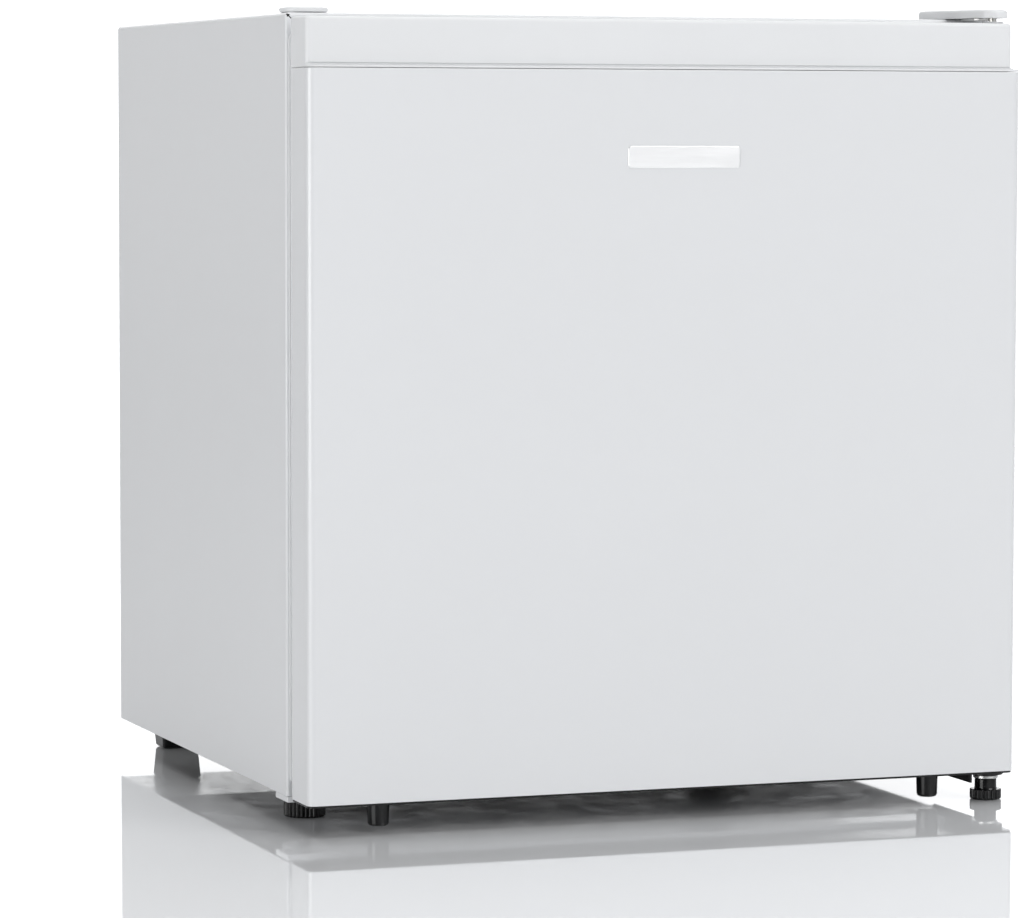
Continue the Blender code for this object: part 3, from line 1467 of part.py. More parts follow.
def make_hinges():
    upper_hinge_bracket()
    upper_hinge_pin()
    upper_hinge_cover()
    for number, x in enumerate((SIDE - 0.0255, SIDE - 0.0125), 1):
        screw(f"upper_hinge_screw_{number}", (x, CABINET_FRONT + 0.014, PIN_BASE + BRACKET), 1)
    blank_hinge_cap()
    lower_hinge_bracket()
    lower_hinge_pin()
    foot_lock_washer()
    for number, x in enumerate((SIDE - 0.062, SIDE - 0.028), 1):
        place = (x, CABINET_FRONT + 0.047, CABINET_CLEARANCE - FIT - BRACKET)
        screw(f"lower_hinge_screw_{number}", place, -1)


def make_door():
    door = bpy.data.objects.new("door_axis", None)
    door.location = (HINGE_X, HINGE_Y, DOOR_BOTTOM)
    bpy.context.scene.collection.objects.link(door)
    for make in (door_skin, badge, door_top_trim, door_bottom_cap, door_bush_upper, door_bush_lower):
        make(door)
    for make in (door_foam, door_liner, door_gasket):
        make(door)
    for name in RACKS:
        rack(name, door)


def make_inside():
    evaporator()
    freezer_frame()
    freezer_flap()
    drip_tray()
    shelf_glass()
    shelf_front_trim()
    thermostat_housing()
    thermostat_knob()


def make_refrigeration():
    compressor_housing()
    compressor_mount_plate()
    for number, place in enumerate(grommet_places(), 1):
        compressor_grommet(number, place)
    relay_cover()
    filter_drier()
    suction_pipe()
    discharge_pipe()
    condenser_coil()
    for name, side in (("left", -1), ("right", 1)):
        condenser_bracket(f"condenser_bracket_{name}", side)


def main():
    clear_scene()
    make_cabinet()
    make_feet()
    make_hinges()
    make_door()
    make_inside()
    make_refrigeration()


main()
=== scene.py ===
import json
import math

import bmesh
import bpy
from mathutils import Matrix, Vector

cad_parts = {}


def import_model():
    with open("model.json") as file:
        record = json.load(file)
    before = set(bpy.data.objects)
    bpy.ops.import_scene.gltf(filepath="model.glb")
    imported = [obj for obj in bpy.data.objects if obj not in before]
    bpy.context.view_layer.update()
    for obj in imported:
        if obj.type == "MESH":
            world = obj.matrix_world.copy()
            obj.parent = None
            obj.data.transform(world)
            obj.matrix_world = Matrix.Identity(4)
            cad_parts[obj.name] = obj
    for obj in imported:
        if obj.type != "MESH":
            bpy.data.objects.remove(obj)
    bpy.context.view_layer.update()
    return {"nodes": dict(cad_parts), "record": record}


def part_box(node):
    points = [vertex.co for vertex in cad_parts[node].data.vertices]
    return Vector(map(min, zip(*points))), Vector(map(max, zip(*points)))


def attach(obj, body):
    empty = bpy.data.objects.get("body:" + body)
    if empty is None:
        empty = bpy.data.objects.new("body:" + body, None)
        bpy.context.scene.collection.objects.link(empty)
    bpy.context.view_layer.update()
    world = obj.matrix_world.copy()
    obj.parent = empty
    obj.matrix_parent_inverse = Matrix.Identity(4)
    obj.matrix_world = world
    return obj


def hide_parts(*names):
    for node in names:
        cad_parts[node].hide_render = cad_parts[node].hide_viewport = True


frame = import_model()

NODES = frame["nodes"]
BODY_OF = {node: body for body, nodes in frame["record"]["behaviour"]["bodies"].items() for node in nodes}
SLOT_OF = {part["node"]: part["material_slot"] for part in frame["record"]["subparts"]}
MM = 0.001
WELD = 0.004 * MM


# Places taken from the frame -------------------------------------------------------------------------


def span(node):
    """A node's lowest and highest corners as vectors."""
    low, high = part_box(node)
    return Vector(low), Vector(high)


PANEL_LOW, PANEL_HIGH = span("door_skin")
TRIM_LOW, TRIM_HIGH = span("door_top_trim")
SHELL_LOW, SHELL_HIGH = span("outer_shell")
PIN_LOW, PIN_HIGH = span("upper_hinge_pin")
HINGE = Vector(((PIN_LOW.x + PIN_HIGH.x) / 2, (PIN_LOW.y + PIN_HIGH.y) / 2))


# Shading nodes ---------------------------------------------------------------------------------------


class Recipe:
    """A material under construction: its nodes, its shader and its object-space coordinates."""

    def __init__(self, name, colour, roughness, metallic=0.0):
        self.material = bpy.data.materials.new(name)
        self.material.use_nodes = True
        self.tree = self.material.node_tree
        self.shader = self.tree.nodes["Principled BSDF"]
        self.shader.inputs["Base Color"].default_value = (*colour, 1.0)
        self.shader.inputs["Roughness"].default_value = roughness
        self.shader.inputs["Metallic"].default_value = metallic
        self.place = self.add("ShaderNodeTexCoord").outputs["Object"]
        self.normal = None

    def add(self, kind, **settings):
        node = self.tree.nodes.new(kind)
        for key, value in settings.items():
            setattr(node, key, value)
        return node

    def link(self, source, target):
        self.tree.links.new(source, target)

    def set(self, **values):
        """Constant values straight on the shader's own sockets; underscores stand for spaces."""
        for key, value in values.items():
            self.shader.inputs[key.replace("_", " ")].default_value = value
        return self

    def stretched(self, scale):
        mapping = self.add("ShaderNodeMapping")
        mapping.inputs["Scale"].default_value = scale
        self.link(self.place, mapping.inputs["Vector"])
        return mapping.outputs["Vector"]

    def noise(self, scale, detail=3.0, stretch=None):
        node = self.add("ShaderNodeTexNoise")
        node.inputs["Scale"].default_value = scale
        node.inputs["Detail"].default_value = detail
        self.link(self.stretched(stretch) if stretch else self.place, node.inputs["Vector"])
        return node.outputs["Fac"]

    def cells(self, scale):
        node = self.add("ShaderNodeTexVoronoi")
        node.inputs["Scale"].default_value = scale
        self.link(self.place, node.inputs["Vector"])
        return node.outputs["Distance"]

    def ranged(self, source, low, high, start=0.3, end=0.7):
        """source from start..end mapped to low..high."""
        node = self.add("ShaderNodeMapRange")
        for key, value in (("From Min", start), ("From Max", end), ("To Min", low), ("To Max", high)):
            node.inputs[key].default_value = value
        self.link(source, node.inputs["Value"])
        return node.outputs["Result"]

    def vary_roughness(self, source, low, high, start=0.3, end=0.7):
        self.link(self.ranged(source, low, high, start, end), self.shader.inputs["Roughness"])
        return self

    def vary_colour(self, source, other, start=0.35, end=0.65, share=1.0):
        """The base colour drifts towards another colour where source is high."""
        mix = self.add("ShaderNodeMix", data_type="RGBA")
        before = self.shader.inputs["Base Color"]
        if before.is_linked:
            self.link(before.links[0].from_socket, mix.inputs["A"])
        else:
            mix.inputs["A"].default_value = before.default_value
        mix.inputs["B"].default_value = (*other, 1.0)
        self.link(self.ranged(source, 0.0, share, start, end), mix.inputs["Factor"])
        self.link(mix.outputs["Result"], self.shader.inputs["Base Color"])
        return self

    def bump(self, source, strength, distance):
        """Bumps are stacked: each takes the last one's normal."""
        node = self.add("ShaderNodeBump")
        node.inputs["Strength"].default_value = strength
        node.inputs["Distance"].default_value = distance
        self.link(source, node.inputs["Height"])
        if self.normal:
            self.link(self.normal, node.inputs["Normal"])
        self.normal = node.outputs["Normal"]
        self.link(self.normal, self.shader.inputs["Normal"])
        return self


def edge_lightened(recipe, other, share):
    """Lighter colour on the sharpest convex edges, found by the pointedness of the surface."""
    geometry = recipe.add("ShaderNodeNewGeometry")
    return recipe.vary_colour(geometry.outputs["Pointiness"], other, 0.51, 0.60, share)


def enamel_material():
    """Baked powder enamel: faint orange peel, a slow drift of gloss and a trace of dust."""
    r = Recipe("enamel", (0.795, 0.806, 0.822), 0.23).set(Coat_Weight=0.5, Coat_Roughness=0.07)
    r.vary_colour(r.noise(5.0, 2.0), (0.788, 0.798, 0.812), 0.2, 0.8)
    r.vary_roughness(r.noise(11.0, 2.0), 0.21, 0.25, 0.2, 0.8)
    r.bump(r.noise(420.0, 1.0), 0.05, 0.0001)
    return r.material


def white_plastic_material():
    """Moulded plastic with a fine spark-eroded grain."""
    r = Recipe("white_plastic", (0.81, 0.82, 0.832), 0.36)
    r.vary_colour(r.noise(12.0, 3.0), (0.80, 0.81, 0.82))
    r.vary_roughness(r.noise(30.0, 4.0), 0.30, 0.42)
    r.bump(r.noise(2600.0, 2.0), 0.16, 0.00006)
    r.bump(r.cells(1500.0), 0.08, 0.00005)
    return r.material


def liner_material():
    """Thermoformed polystyrene: soft gloss and the slow waves of the forming."""
    r = Recipe("liner_plastic", (0.86, 0.872, 0.885), 0.22).set(Coat_Weight=0.15, Coat_Roughness=0.2)
    r.vary_colour(r.noise(7.0, 3.0), (0.845, 0.857, 0.872))
    r.vary_roughness(r.noise(20.0, 4.0), 0.17, 0.28)
    r.bump(r.noise(22.0, 2.0), 0.03, 0.0006)
    r.bump(r.noise(900.0, 2.0), 0.05, 0.00006)
    return r.material


def black_plastic_material():
    """Glossy black moulding with light scuffs."""
    r = Recipe("black_plastic", (0.003, 0.003, 0.0035), 0.14).set(Specular_IOR_Level=0.4)
    r.vary_colour(r.noise(180.0, 4.0), (0.010, 0.010, 0.011), 0.55, 0.85, 0.6)
    r.vary_roughness(r.noise(120.0, 4.0), 0.10, 0.20)
    r.bump(r.noise(900.0, 2.0), 0.05, 0.00006)
    return r.material


def zinc_material():
    """Zinc plate: mottled crystals, a cloudy sheen and brighter edges."""
    r = Recipe("zinc_steel", (0.66, 0.66, 0.64), 0.30, 1.0)
    r.vary_colour(r.cells(260.0), (0.56, 0.57, 0.58), 0.2, 0.7)
    r.vary_colour(r.noise(60.0, 4.0), (0.74, 0.72, 0.66), 0.5, 0.75, 0.6)
    r.vary_roughness(r.noise(140.0, 5.0), 0.20, 0.42)
    r.bump(r.noise(800.0, 3.0, (1.0, 6.0, 1.0)), 0.10, 0.00006)
    return edge_lightened(r, (0.85, 0.85, 0.84), 0.6).material


def black_paint_material():
    """Dip paint on steel: slightly lumpy, with dust lying on it."""
    r = Recipe("black_paint", (0.014, 0.014, 0.015), 0.38)
    r.vary_colour(r.noise(40.0, 6.0), (0.05, 0.048, 0.045), 0.5, 0.8, 0.6)
    r.vary_roughness(r.noise(60.0, 5.0), 0.30, 0.55)
    r.bump(r.noise(330.0, 3.0), 0.16, 0.0002)
    return r.material


def aluminium_material():
    """Rolled sheet: fine lines along the roll and a frosted bloom."""
    r = Recipe("aluminium", (0.80, 0.81, 0.82), 0.34, 1.0)
    r.vary_colour(r.noise(45.0, 5.0), (0.70, 0.72, 0.74), 0.4, 0.7)
    r.vary_roughness(r.noise(90.0, 5.0, (1.0, 12.0, 12.0)), 0.26, 0.46)
    r.bump(r.noise(500.0, 3.0, (0.4, 8.0, 8.0)), 0.10, 0.00006)
    return r.material


def satin_metal_material():
    """Satin plate brushed along its length."""
    r = Recipe("satin_metal", (0.90, 0.905, 0.91), 0.32, 1.0)
    r.vary_roughness(r.noise(900.0, 3.0, (0.05, 1.0, 1.0)), 0.28, 0.38)
    r.vary_colour(r.noise(300.0, 2.0, (0.05, 1.0, 1.0)), (0.86, 0.865, 0.87))
    r.bump(r.noise(1200.0, 2.0, (0.03, 1.0, 1.0)), 0.05, 0.00002)
    return r.material


def foam_material():
    r = Recipe("foam", (0.80, 0.68, 0.38), 0.88)
    r.vary_colour(r.noise(50.0, 5.0), (0.68, 0.55, 0.28))
    r.bump(r.cells(420.0), 0.5, 0.0006)
    return r.material


def gasket_material():
    """Soft vinyl: dull, faintly creased."""
    r = Recipe("gasket_vinyl", (0.80, 0.81, 0.82), 0.50)
    r.vary_colour(r.noise(30.0, 4.0), (0.75, 0.76, 0.77), 0.45, 0.75)
    r.vary_roughness(r.noise(70.0, 4.0), 0.42, 0.60)
    r.bump(r.noise(260.0, 3.0), 0.14, 0.0002)
    return r.material


def clear_plastic_material():
    """Clear polystyrene with flow lines and a few scuffs."""
    r = Recipe("clear_plastic", (0.90, 0.95, 0.97), 0.06).set(Transmission_Weight=0.88, IOR=1.58)
    r.vary_roughness(r.noise(60.0, 6.0), 0.04, 0.16, 0.45, 0.8)
    r.bump(r.noise(18.0, 3.0), 0.06, 0.0008)
    return r.material


def glass_material():
    """Toughened glass, greenish, with faint wipe marks."""
    r = Recipe("shelf_glass", (0.84, 0.955, 0.925), 0.02).set(Transmission_Weight=0.95, IOR=1.52)
    r.vary_roughness(r.noise(35.0, 6.0, (1.0, 4.0, 1.0)), 0.015, 0.07, 0.5, 0.8)
    r.bump(r.noise(8.0, 2.0), 0.03, 0.0006)
    return r.material


def copper_material():
    """Drawn copper, browned here and there."""
    r = Recipe("copper", (0.76, 0.38, 0.22), 0.26, 1.0)
    r.vary_colour(r.noise(70.0, 5.0), (0.42, 0.19, 0.10), 0.5, 0.8, 0.8)
    r.vary_roughness(r.noise(120.0, 5.0), 0.20, 0.46)
    r.bump(r.noise(700.0, 3.0), 0.08, 0.00008)
    return r.material


def rubber_material():
    r = Recipe("rubber", (0.028, 0.028, 0.029), 0.72)
    r.vary_colour(r.noise(160.0, 5.0), (0.06, 0.06, 0.058), 0.5, 0.8, 0.6)
    r.bump(r.noise(700.0, 4.0), 0.25, 0.00015)
    return r.material


MATERIALS = {
    "white_enamel": enamel_material(),
    "white_plastic": white_plastic_material(),
    "liner_plastic": liner_material(),
    "black_plastic": black_plastic_material(),
    "zinc_steel": zinc_material(),
    "black_paint": black_paint_material(),
    "aluminium": aluminium_material(),
    "satin_metal": satin_metal_material(),
    "foam": foam_material(),
    "gasket_vinyl": gasket_material(),
    "clear_plastic": clear_plastic_material(),
    "shelf_glass": glass_material(),
    "copper": copper_material(),
    "rubber": rubber_material(),
}


def dress_frame():
    """Gives every CAD node its slot's material."""
    for node, obj in NODES.items():
        obj.data.materials.clear()
        obj.data.materials.append(MATERIALS[SLOT_OF[node]])


# Building --------------------------------------------------------------------------------------------


def piece(name, bm, node, replaced=(), slot=None, angle=35):
    """A finished mesh that rides with a node's body and takes its material slot."""
    bmesh.ops.recalc_face_normals(bm, faces=bm.faces)
    mesh = bpy.data.meshes.new(name)
    bm.to_mesh(mesh)
    bm.free()
    mesh.shade_smooth()
    mesh.set_sharp_from_angle(angle=math.radians(angle))
    obj = bpy.data.objects.new(name, mesh)
    bpy.context.scene.collection.objects.link(obj)
    slot = slot or SLOT_OF[node]
    mesh.materials.append(MATERIALS[slot])
    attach(obj, BODY_OF[node])
    if replaced:
        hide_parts(*replaced)
    return obj


def node_bmesh(node):
    """The node's mesh as one welded surface with flat regions dissolved to single faces."""
    bm = bmesh.new()
    bm.from_mesh(NODES[node].data)
    bmesh.ops.remove_doubles(bm, verts=bm.verts, dist=WELD)
    bmesh.ops.dissolve_limit(
        bm, angle_limit=math.radians(0.4), verts=bm.verts, edges=bm.edges, use_dissolve_boundaries=False
    )
    return bm


def even_normals(obj):
    """Flats keep their own normals and only the rounds blend."""
    weighted = obj.modifiers.new("normals", "WEIGHTED_NORMAL")
    weighted.keep_sharp = True
    return obj


def soften(obj, width, segments=3, angle=32):
    """Rounded edges with clean shading across the flats."""
    bevel = obj.modifiers.new("edges", "BEVEL")
    bevel.width = width
    bevel.segments = segments
    bevel.limit_method = "ANGLE"
    bevel.angle_limit = math.radians(angle)
    bevel.use_clamp_overlap = True
    bevel.harden_normals = False
    return even_normals(obj)


def refined(node, width):
    """A node's own shape with its edges rounded."""
    return soften(piece(f"{node}_fine", node_bmesh(node), node, (node,)), width)


def difference(bm, cutter):
    """One closed mesh less another, as a new bmesh."""
    objects = []
    for shape in (bm, cutter):
        mesh = bpy.data.meshes.new("operand")
        bmesh.ops.recalc_face_normals(shape, faces=shape.faces)
        shape.to_mesh(mesh)
        shape.free()
        objects.append(bpy.data.objects.new("operand", mesh))
        bpy.context.scene.collection.objects.link(objects[-1])
    step = objects[0].modifiers.new("cut", "BOOLEAN")
    step.object, step.operation, step.solver = objects[1], "DIFFERENCE", "EXACT"
    depsgraph = bpy.context.evaluated_depsgraph_get()
    result = bmesh.new()
    result.from_mesh(objects[0].evaluated_get(depsgraph).to_mesh())
    for obj in objects:
        mesh = obj.data
        bpy.data.objects.remove(obj)
        bpy.data.meshes.remove(mesh)
    return result


def cut(bm, *cutters):
    for cutter in cutters:
        bm = difference(bm, cutter)
    return bm


def loft(rings):
    """A closed skin through rings of equally many points, capped at both ends."""
    bm = bmesh.new()
    rows = [[bm.verts.new(point) for point in ring] for ring in rings]
    for low, high in zip(rows, rows[1:]):
        for i in range(len(low)):
            j = (i + 1) % len(low)
            bm.faces.new((low[i], low[j], high[j], high[i]))
    bm.faces.new(rows[0])
    bm.faces.new(rows[-1])
    return bm


def box(x, y, z):
    return loft([[(x[0], y[0], h), (x[1], y[0], h), (x[1], y[1], h), (x[0], y[1], h)] for h in z])


def turned(profile, centre, steps, axis="Z"):
    """(radius, height) points turned about an axis; the profile starts and ends off the axis."""
    rings = []
    for radius, height in profile:
        ring = []
        for i in range(steps):
            a = math.tau * i / steps
            u, v = radius * math.cos(a), radius * math.sin(a)
            offset = (u, v, height) if axis == "Z" else (u, height, v)
            ring.append(tuple(c + o for c, o in zip(centre, offset)))
        rings.append(ring)
    return loft(rings)


def tube(path, radius, sides=12):
    """A round tube along a path of vectors, its frame carried along without twist."""
    path = [Vector(p) for p in path]
    side = (path[1] - path[0]).orthogonal().normalized()
    rings = []
    for i, place in enumerate(path):
        ahead = (path[min(i + 1, len(path) - 1)] - path[max(i - 1, 0)]).normalized()
        side = (side - ahead * side.dot(ahead)).normalized()
        up = ahead.cross(side)
        turn = [math.tau * k / sides for k in range(sides)]
        rings.append([place + (side * math.cos(a) + up * math.sin(a)) * radius for a in turn])
    return loft(rings)


def merged(*shapes):
    """Several separate shapes as one mesh."""
    whole = bmesh.new()
    for shape in shapes:
        mesh = bpy.data.meshes.new("part")
        shape.to_mesh(mesh)
        shape.free()
        whole.from_mesh(mesh)
        bpy.data.meshes.remove(mesh)
    return whole


def corner_arc(corner, before, after, radius, steps):
    """Points that round a corner; with no radius they all lie on it."""
    corner, before, after = Vector(corner), Vector(before), Vector(after)
    if radius <= 0:
        return [corner.copy() for _ in range(steps + 1)]
    to_before, to_after = (before - corner).normalized(), (after - corner).normalized()
    half = to_before.angle(to_after) / 2
    centre = corner + (to_before + to_after).normalized() * radius / math.sin(half)
    start = corner + to_before * radius / math.tan(half) - centre
    end = corner + to_after * radius / math.tan(half) - centre
    sweep = math.pi - 2 * half
    points = []
    for k in range(steps + 1):
        done = sweep * k / steps
        points.append(centre + (start * math.sin(sweep - done) + end * math.sin(done)) / math.sin(sweep))
    return points


def plan(corners, steps=12):
    """A closed outline from (x, y, radius) corners."""
    points = []
    for i, (x, y, radius) in enumerate(corners):
        before, after = corners[i - 1][:2], corners[(i + 1) % len(corners)][:2]
        points += corner_arc((x, y), before, after, radius, steps)
    return points


def at_height(outline, z):
    return [(p[0], p[1], z) for p in outline]


def quarter(steps):
    """(sin, 1 - cos) pairs from 0 to a right angle, for rounded rims."""
    turns = [math.pi / 2 * i / steps for i in range(steps + 1)]
    return [(math.sin(a), 1 - math.cos(a)) for a in turns]


# Door ------------------------------------------------------------------------------------------------


# Sheet thickness, front corner radius, the return behind the door and the radius of its rear fold.
SKIN = 1.0 * MM
DOOR_CORNER = 5.0 * MM
DOOR_RETURN = 10.0 * MM
FOLD = 1.6 * MM


def skin_line(inset, corner, back_corner):
    """The open line of the door sheet in plan, from one rear return round to the other."""
    left, right = PANEL_LOW.x + inset, PANEL_HIGH.x - inset
    front, back = PANEL_LOW.y + inset, PANEL_HIGH.y - inset
    corners = [
        (left, back, back_corner),
        (left, front, corner),
        (right, front, corner),
        (right, back, back_corner),
    ]
    ends = (PANEL_LOW.x + DOOR_RETURN, back), (PANEL_HIGH.x - DOOR_RETURN, back)
    places = [ends[0], *((x, y) for x, y, _ in corners), ends[1]]
    line = [Vector(ends[0])]
    for i, (x, y, radius) in enumerate(corners, 1):
        line += corner_arc((x, y), places[i - 1], places[i + 1], radius, 16)
    return [*line, Vector(ends[1])]


def door_skin():
    """The folded steel front with its rolled upper and lower edges."""
    outer = skin_line(0.0, DOOR_CORNER, FOLD)
    inner = skin_line(SKIN, DOOR_CORNER - SKIN, FOLD - SKIN)
    outline = outer + inner[::-1]
    bm = loft([at_height(outline, z) for z in (PANEL_LOW.z, PANEL_HIGH.z)])
    obj = piece("door_skin_fine", bm, "door_skin", ("door_skin",))
    return soften(obj, 0.42 * MM, 3, 50)


# The strip's rear corners, its foot's height and rounding, the undercut's height and depth, how far
# the face stands back from the panel and in from its right end, and the roundings of the face.
TRIM_BACK_CORNER = 0.8 * MM
TRIM_FOOT = 1.2 * MM
TRIM_LIP = 0.35 * MM
TRIM_RISE = 1.7 * MM
TRIM_GROOVE = 1.1 * MM
TRIM_SETBACK = 4.5 * MM
TRIM_STEP = 3.5 * MM
TRIM_SIDE = 0.25 * MM
TRIM_CORNER = 3.0 * MM
TRIM_SOFT = 2.2 * MM

# The grip pocket: from the strip's left end, from its face and from its foot.
GRIP_START = 30 * MM
GRIP_LENGTH = 120 * MM
GRIP_FRONT = 5 * MM
GRIP_BACK = 24 * MM
GRIP_FLOOR = 9 * MM
GRIP_CORNER = 5 * MM

# What the bush's flange covers of the strip's hole, and how far a cutter passes the faces it opens.
BUSH_RIM = 1.5 * MM
PAST = 5 * MM


def trim_plan(inset, front, right, corner):
    """The strip's outline at one level: its face's place, its right end and its front corner radius."""
    left, back = TRIM_LOW.x + inset, TRIM_HIGH.y - inset
    right -= inset
    corners = [(left, front, corner), (right, front, corner)]
    corners += [(right, back, TRIM_BACK_CORNER), (left, back, TRIM_BACK_CORNER)]
    return plan(corners, 14)


def trim_foot_rings(front, full, low):
    """The foot's levels: flush with the panel, its lower and upper edges rounded."""

    def level(out, z):
        inset = TRIM_LIP * (1 - out)
        return at_height(trim_plan(inset, front + inset, full, DOOR_CORNER), z)

    base = trim_plan(TRIM_LIP, front + TRIM_LIP, full, DOOR_CORNER - TRIM_LIP)
    rounds = quarter(4)
    return [
        at_height(base, low),
        *(level(out, low + TRIM_LIP * up) for out, up in rounds[1:]),
        *(level(out, low + TRIM_FOOT - TRIM_LIP * up) for out, up in rounds[:0:-1]),
    ]


def trim_face_rings(front, full, low, high):
    """The undercut above the foot, the face set back and its soft top edge."""
    face, right, ledge = front + TRIM_SETBACK, full - TRIM_STEP, low + TRIM_FOOT
    undercut = TRIM_SIDE + 0.05 * MM, face + TRIM_GROOVE
    soft_from = high - TRIM_SOFT
    rings = [
        at_height(trim_plan(TRIM_SIDE, face, full - 0.2 * MM, DOOR_CORNER - 1.5 * MM), ledge + 0.05 * MM),
        at_height(trim_plan(*undercut, full - 0.3 * MM, 2.5 * MM), ledge + 0.1 * MM),
        at_height(trim_plan(*undercut, right - 0.3 * MM, 2.5 * MM), ledge + TRIM_RISE - 0.3 * MM),
        at_height(trim_plan(TRIM_SIDE, face, right - 0.4 * MM, TRIM_CORNER), ledge + TRIM_RISE),
        at_height(trim_plan(TRIM_SIDE, face, right - 0.5 * MM, TRIM_CORNER), soft_from),
    ]
    for out, up in quarter(8)[1:]:
        inset = TRIM_SOFT * up
        outline = trim_plan(TRIM_SIDE + inset * 0.8, face + inset, right - 0.5 * MM, TRIM_CORNER)
        rings.append(at_height(outline, soft_from + TRIM_SOFT * out))
    return rings


def grip_pocket(face, low, high):
    """The finger pocket in the strip's top, near the opening side."""
    left = TRIM_LOW.x + GRIP_START
    x, y = (left, left + GRIP_LENGTH), (face + GRIP_FRONT, face + GRIP_BACK)
    corners = [(x[0], y[0]), (x[1], y[0]), (x[1], y[1]), (x[0], y[1])]
    outline = plan([(*corner, GRIP_CORNER) for corner in corners], 8)
    return loft([at_height(outline, z) for z in (low + GRIP_FLOOR, high + PAST)])


def door_top_trim():
    """The moulded strip: a foot flush with the panel, an undercut, a face set back and a soft top edge."""
    low, high, front, full = TRIM_LOW.z, TRIM_HIGH.z, PANEL_LOW.y, PANEL_HIGH.x
    body = loft(trim_foot_rings(front, full, low) + trim_face_rings(front, full, low, high))
    pocket = grip_pocket(front + TRIM_SETBACK, low, high)
    bush_low, bush_high = span("door_bush_upper")
    bore = (bush_high.x - bush_low.x) / 2 - BUSH_RIM
    hole = turned([(bore, low - PAST), (bore, high + PAST)], (HINGE.x, HINGE.y, 0), 48)
    shape = cut(body, pocket, hole)
    obj = piece("door_top_trim_fine", shape, "door_top_trim", ("door_top_trim",), angle=40)
    return soften(obj, 0.25 * MM, 2, 50)


# Hinge covers ----------------------------------------------------------------------------------------


# Upper rim, crown, wall, lower lip and rear corner of the hinge cover.
COVER_SOFT = 1.7 * MM
COVER_CROWN = 0.5 * MM
COVER_WALL = 1.4 * MM
COVER_LIP = 0.25 * MM
COVER_CORNER = 3.4 * MM
COVER_LEAST_CORNER = 0.6 * MM

# Neck inset and height, lower and upper rounding, dome and end radius of the blank cap.
CAP_NECK = 0.8 * MM
CAP_RISE = 0.4 * MM
CAP_EDGE = 0.2 * MM
CAP_SOFT = 1.2 * MM
CAP_DOME = 0.4 * MM
CAP_END = 9.0 * MM


def hinge_plan(left, back, reach, corner):
    """The plan of the hinge cover: round about the pin, straight to its rear corners."""
    away = Vector((left, back)) - HINGE
    start = math.atan2(away.y, away.x) + math.acos(reach / away.length)
    turns = [start + (math.tau - start) * i / 48 for i in range(49)]
    arc = [HINGE + Vector((math.cos(a), math.sin(a))) * reach for a in turns]
    right = HINGE.x + reach
    return [
        *arc,
        *corner_arc((right, back), arc[-1], (left, back), corner, 8),
        *corner_arc((left, back), (right, back), arc[0], corner, 8),
    ]


def upper_hinge_cover():
    """A moulded cap, a little crowned, with a soft upper rim; open below."""
    low, high = span("upper_hinge_cover")
    reach = high.x - HINGE.x
    soft, crown, wall = COVER_SOFT, COVER_CROWN, COVER_WALL
    top = high.z - crown

    def level(inset, z):
        corner = max(COVER_CORNER - inset * 0.6, COVER_LEAST_CORNER)
        return at_height(hinge_plan(low.x + inset, high.y - inset, reach - inset, corner), z)

    rings = [level(COVER_LIP, low.z), level(0.0, low.z + COVER_LIP), level(0.0, top - soft)]
    rings += [level(soft * up, top - soft + soft * out) for out, up in quarter(7)[1:]]
    for t in (0.12, 0.28, 0.5):
        rings.append(level(soft + reach * t, top + crown * math.sin(math.pi / 2 * t / 0.5)))
    inner = [level(wall, low.z - MM), level(wall, top - soft), level(wall + 0.8 * soft, top - wall)]
    shape = cut(loft(rings), loft(inner))
    return even_normals(piece("upper_hinge_cover_fine", shape, "upper_hinge_cover", ("upper_hinge_cover",)))


def blank_hinge_cap():
    """A low domed plug with upright ends that stands on a slightly narrower neck."""
    low, high = span("blank_hinge_cap")

    def level(inset, z):
        x, y = (low.x + inset, high.x - inset), (low.y + inset, high.y - inset)
        corners = [(x[0], y[0]), (x[1], y[0]), (x[1], y[1]), (x[0], y[1])]
        return at_height(plan([(*corner, CAP_END - inset) for corner in corners], 10), z)

    rings = [level(CAP_NECK, low.z), level(CAP_NECK, low.z + CAP_RISE)]
    rings += [level(0.75 * CAP_EDGE, low.z + CAP_RISE), level(0.0, low.z + CAP_RISE + CAP_EDGE)]
    shoulder = high.z - CAP_SOFT - CAP_DOME
    rings += [level(CAP_SOFT * up, shoulder + CAP_SOFT * out) for out, up in quarter(6)]
    for inset, drop in ((2.6, 0.25), (4.8, 0.08), (7.0, 0.0)):
        rings.append(level(inset * MM, high.z - drop * MM))
    obj = piece("blank_hinge_cap_fine", loft(rings), "blank_hinge_cap", ("blank_hinge_cap",))
    return even_normals(obj)


# Feet ------------------------------------------------------------------------------------------------


# Points per rib, roundings of the base, then the two feet's bases, stems and studs.
RIB_STEPS = 10
FOOT_SOFT = 1.3 * MM
FOOT_RIM = 0.6 * MM
LEVEL_BASE = 11.5 * MM
LEVEL_STUD = 4.0 * MM
HINGE_FOOT_BASE = 6.5 * MM
HINGE_STEM = 7.0 * MM
HINGE_STEM_TOP = 13.2 * MM
HINGE_STUD = 2.1 * MM


def fluted(centre, radius, height, ribs, depth):
    """A disc with rounded ribs round its rim and soft upper and lower edges."""
    steps = ribs * RIB_STEPS

    def level(inset, z, share):
        ring = []
        for i in range(steps):
            a = math.tau * i / steps
            groove = depth * share * (0.5 - 0.5 * math.cos(ribs * a)) ** 2
            r = radius - inset - groove
            ring.append((centre[0] + r * math.cos(a), centre[1] + r * math.sin(a), z))
        return ring

    rings = [level(FOOT_SOFT * (1 - out), FOOT_SOFT * up, 0.35 + 0.65 * out) for out, up in quarter(6)]
    rings += [level(FOOT_RIM * up, height - FOOT_RIM * (1 - out), 1.0) for out, up in quarter(4)]
    return loft(rings)


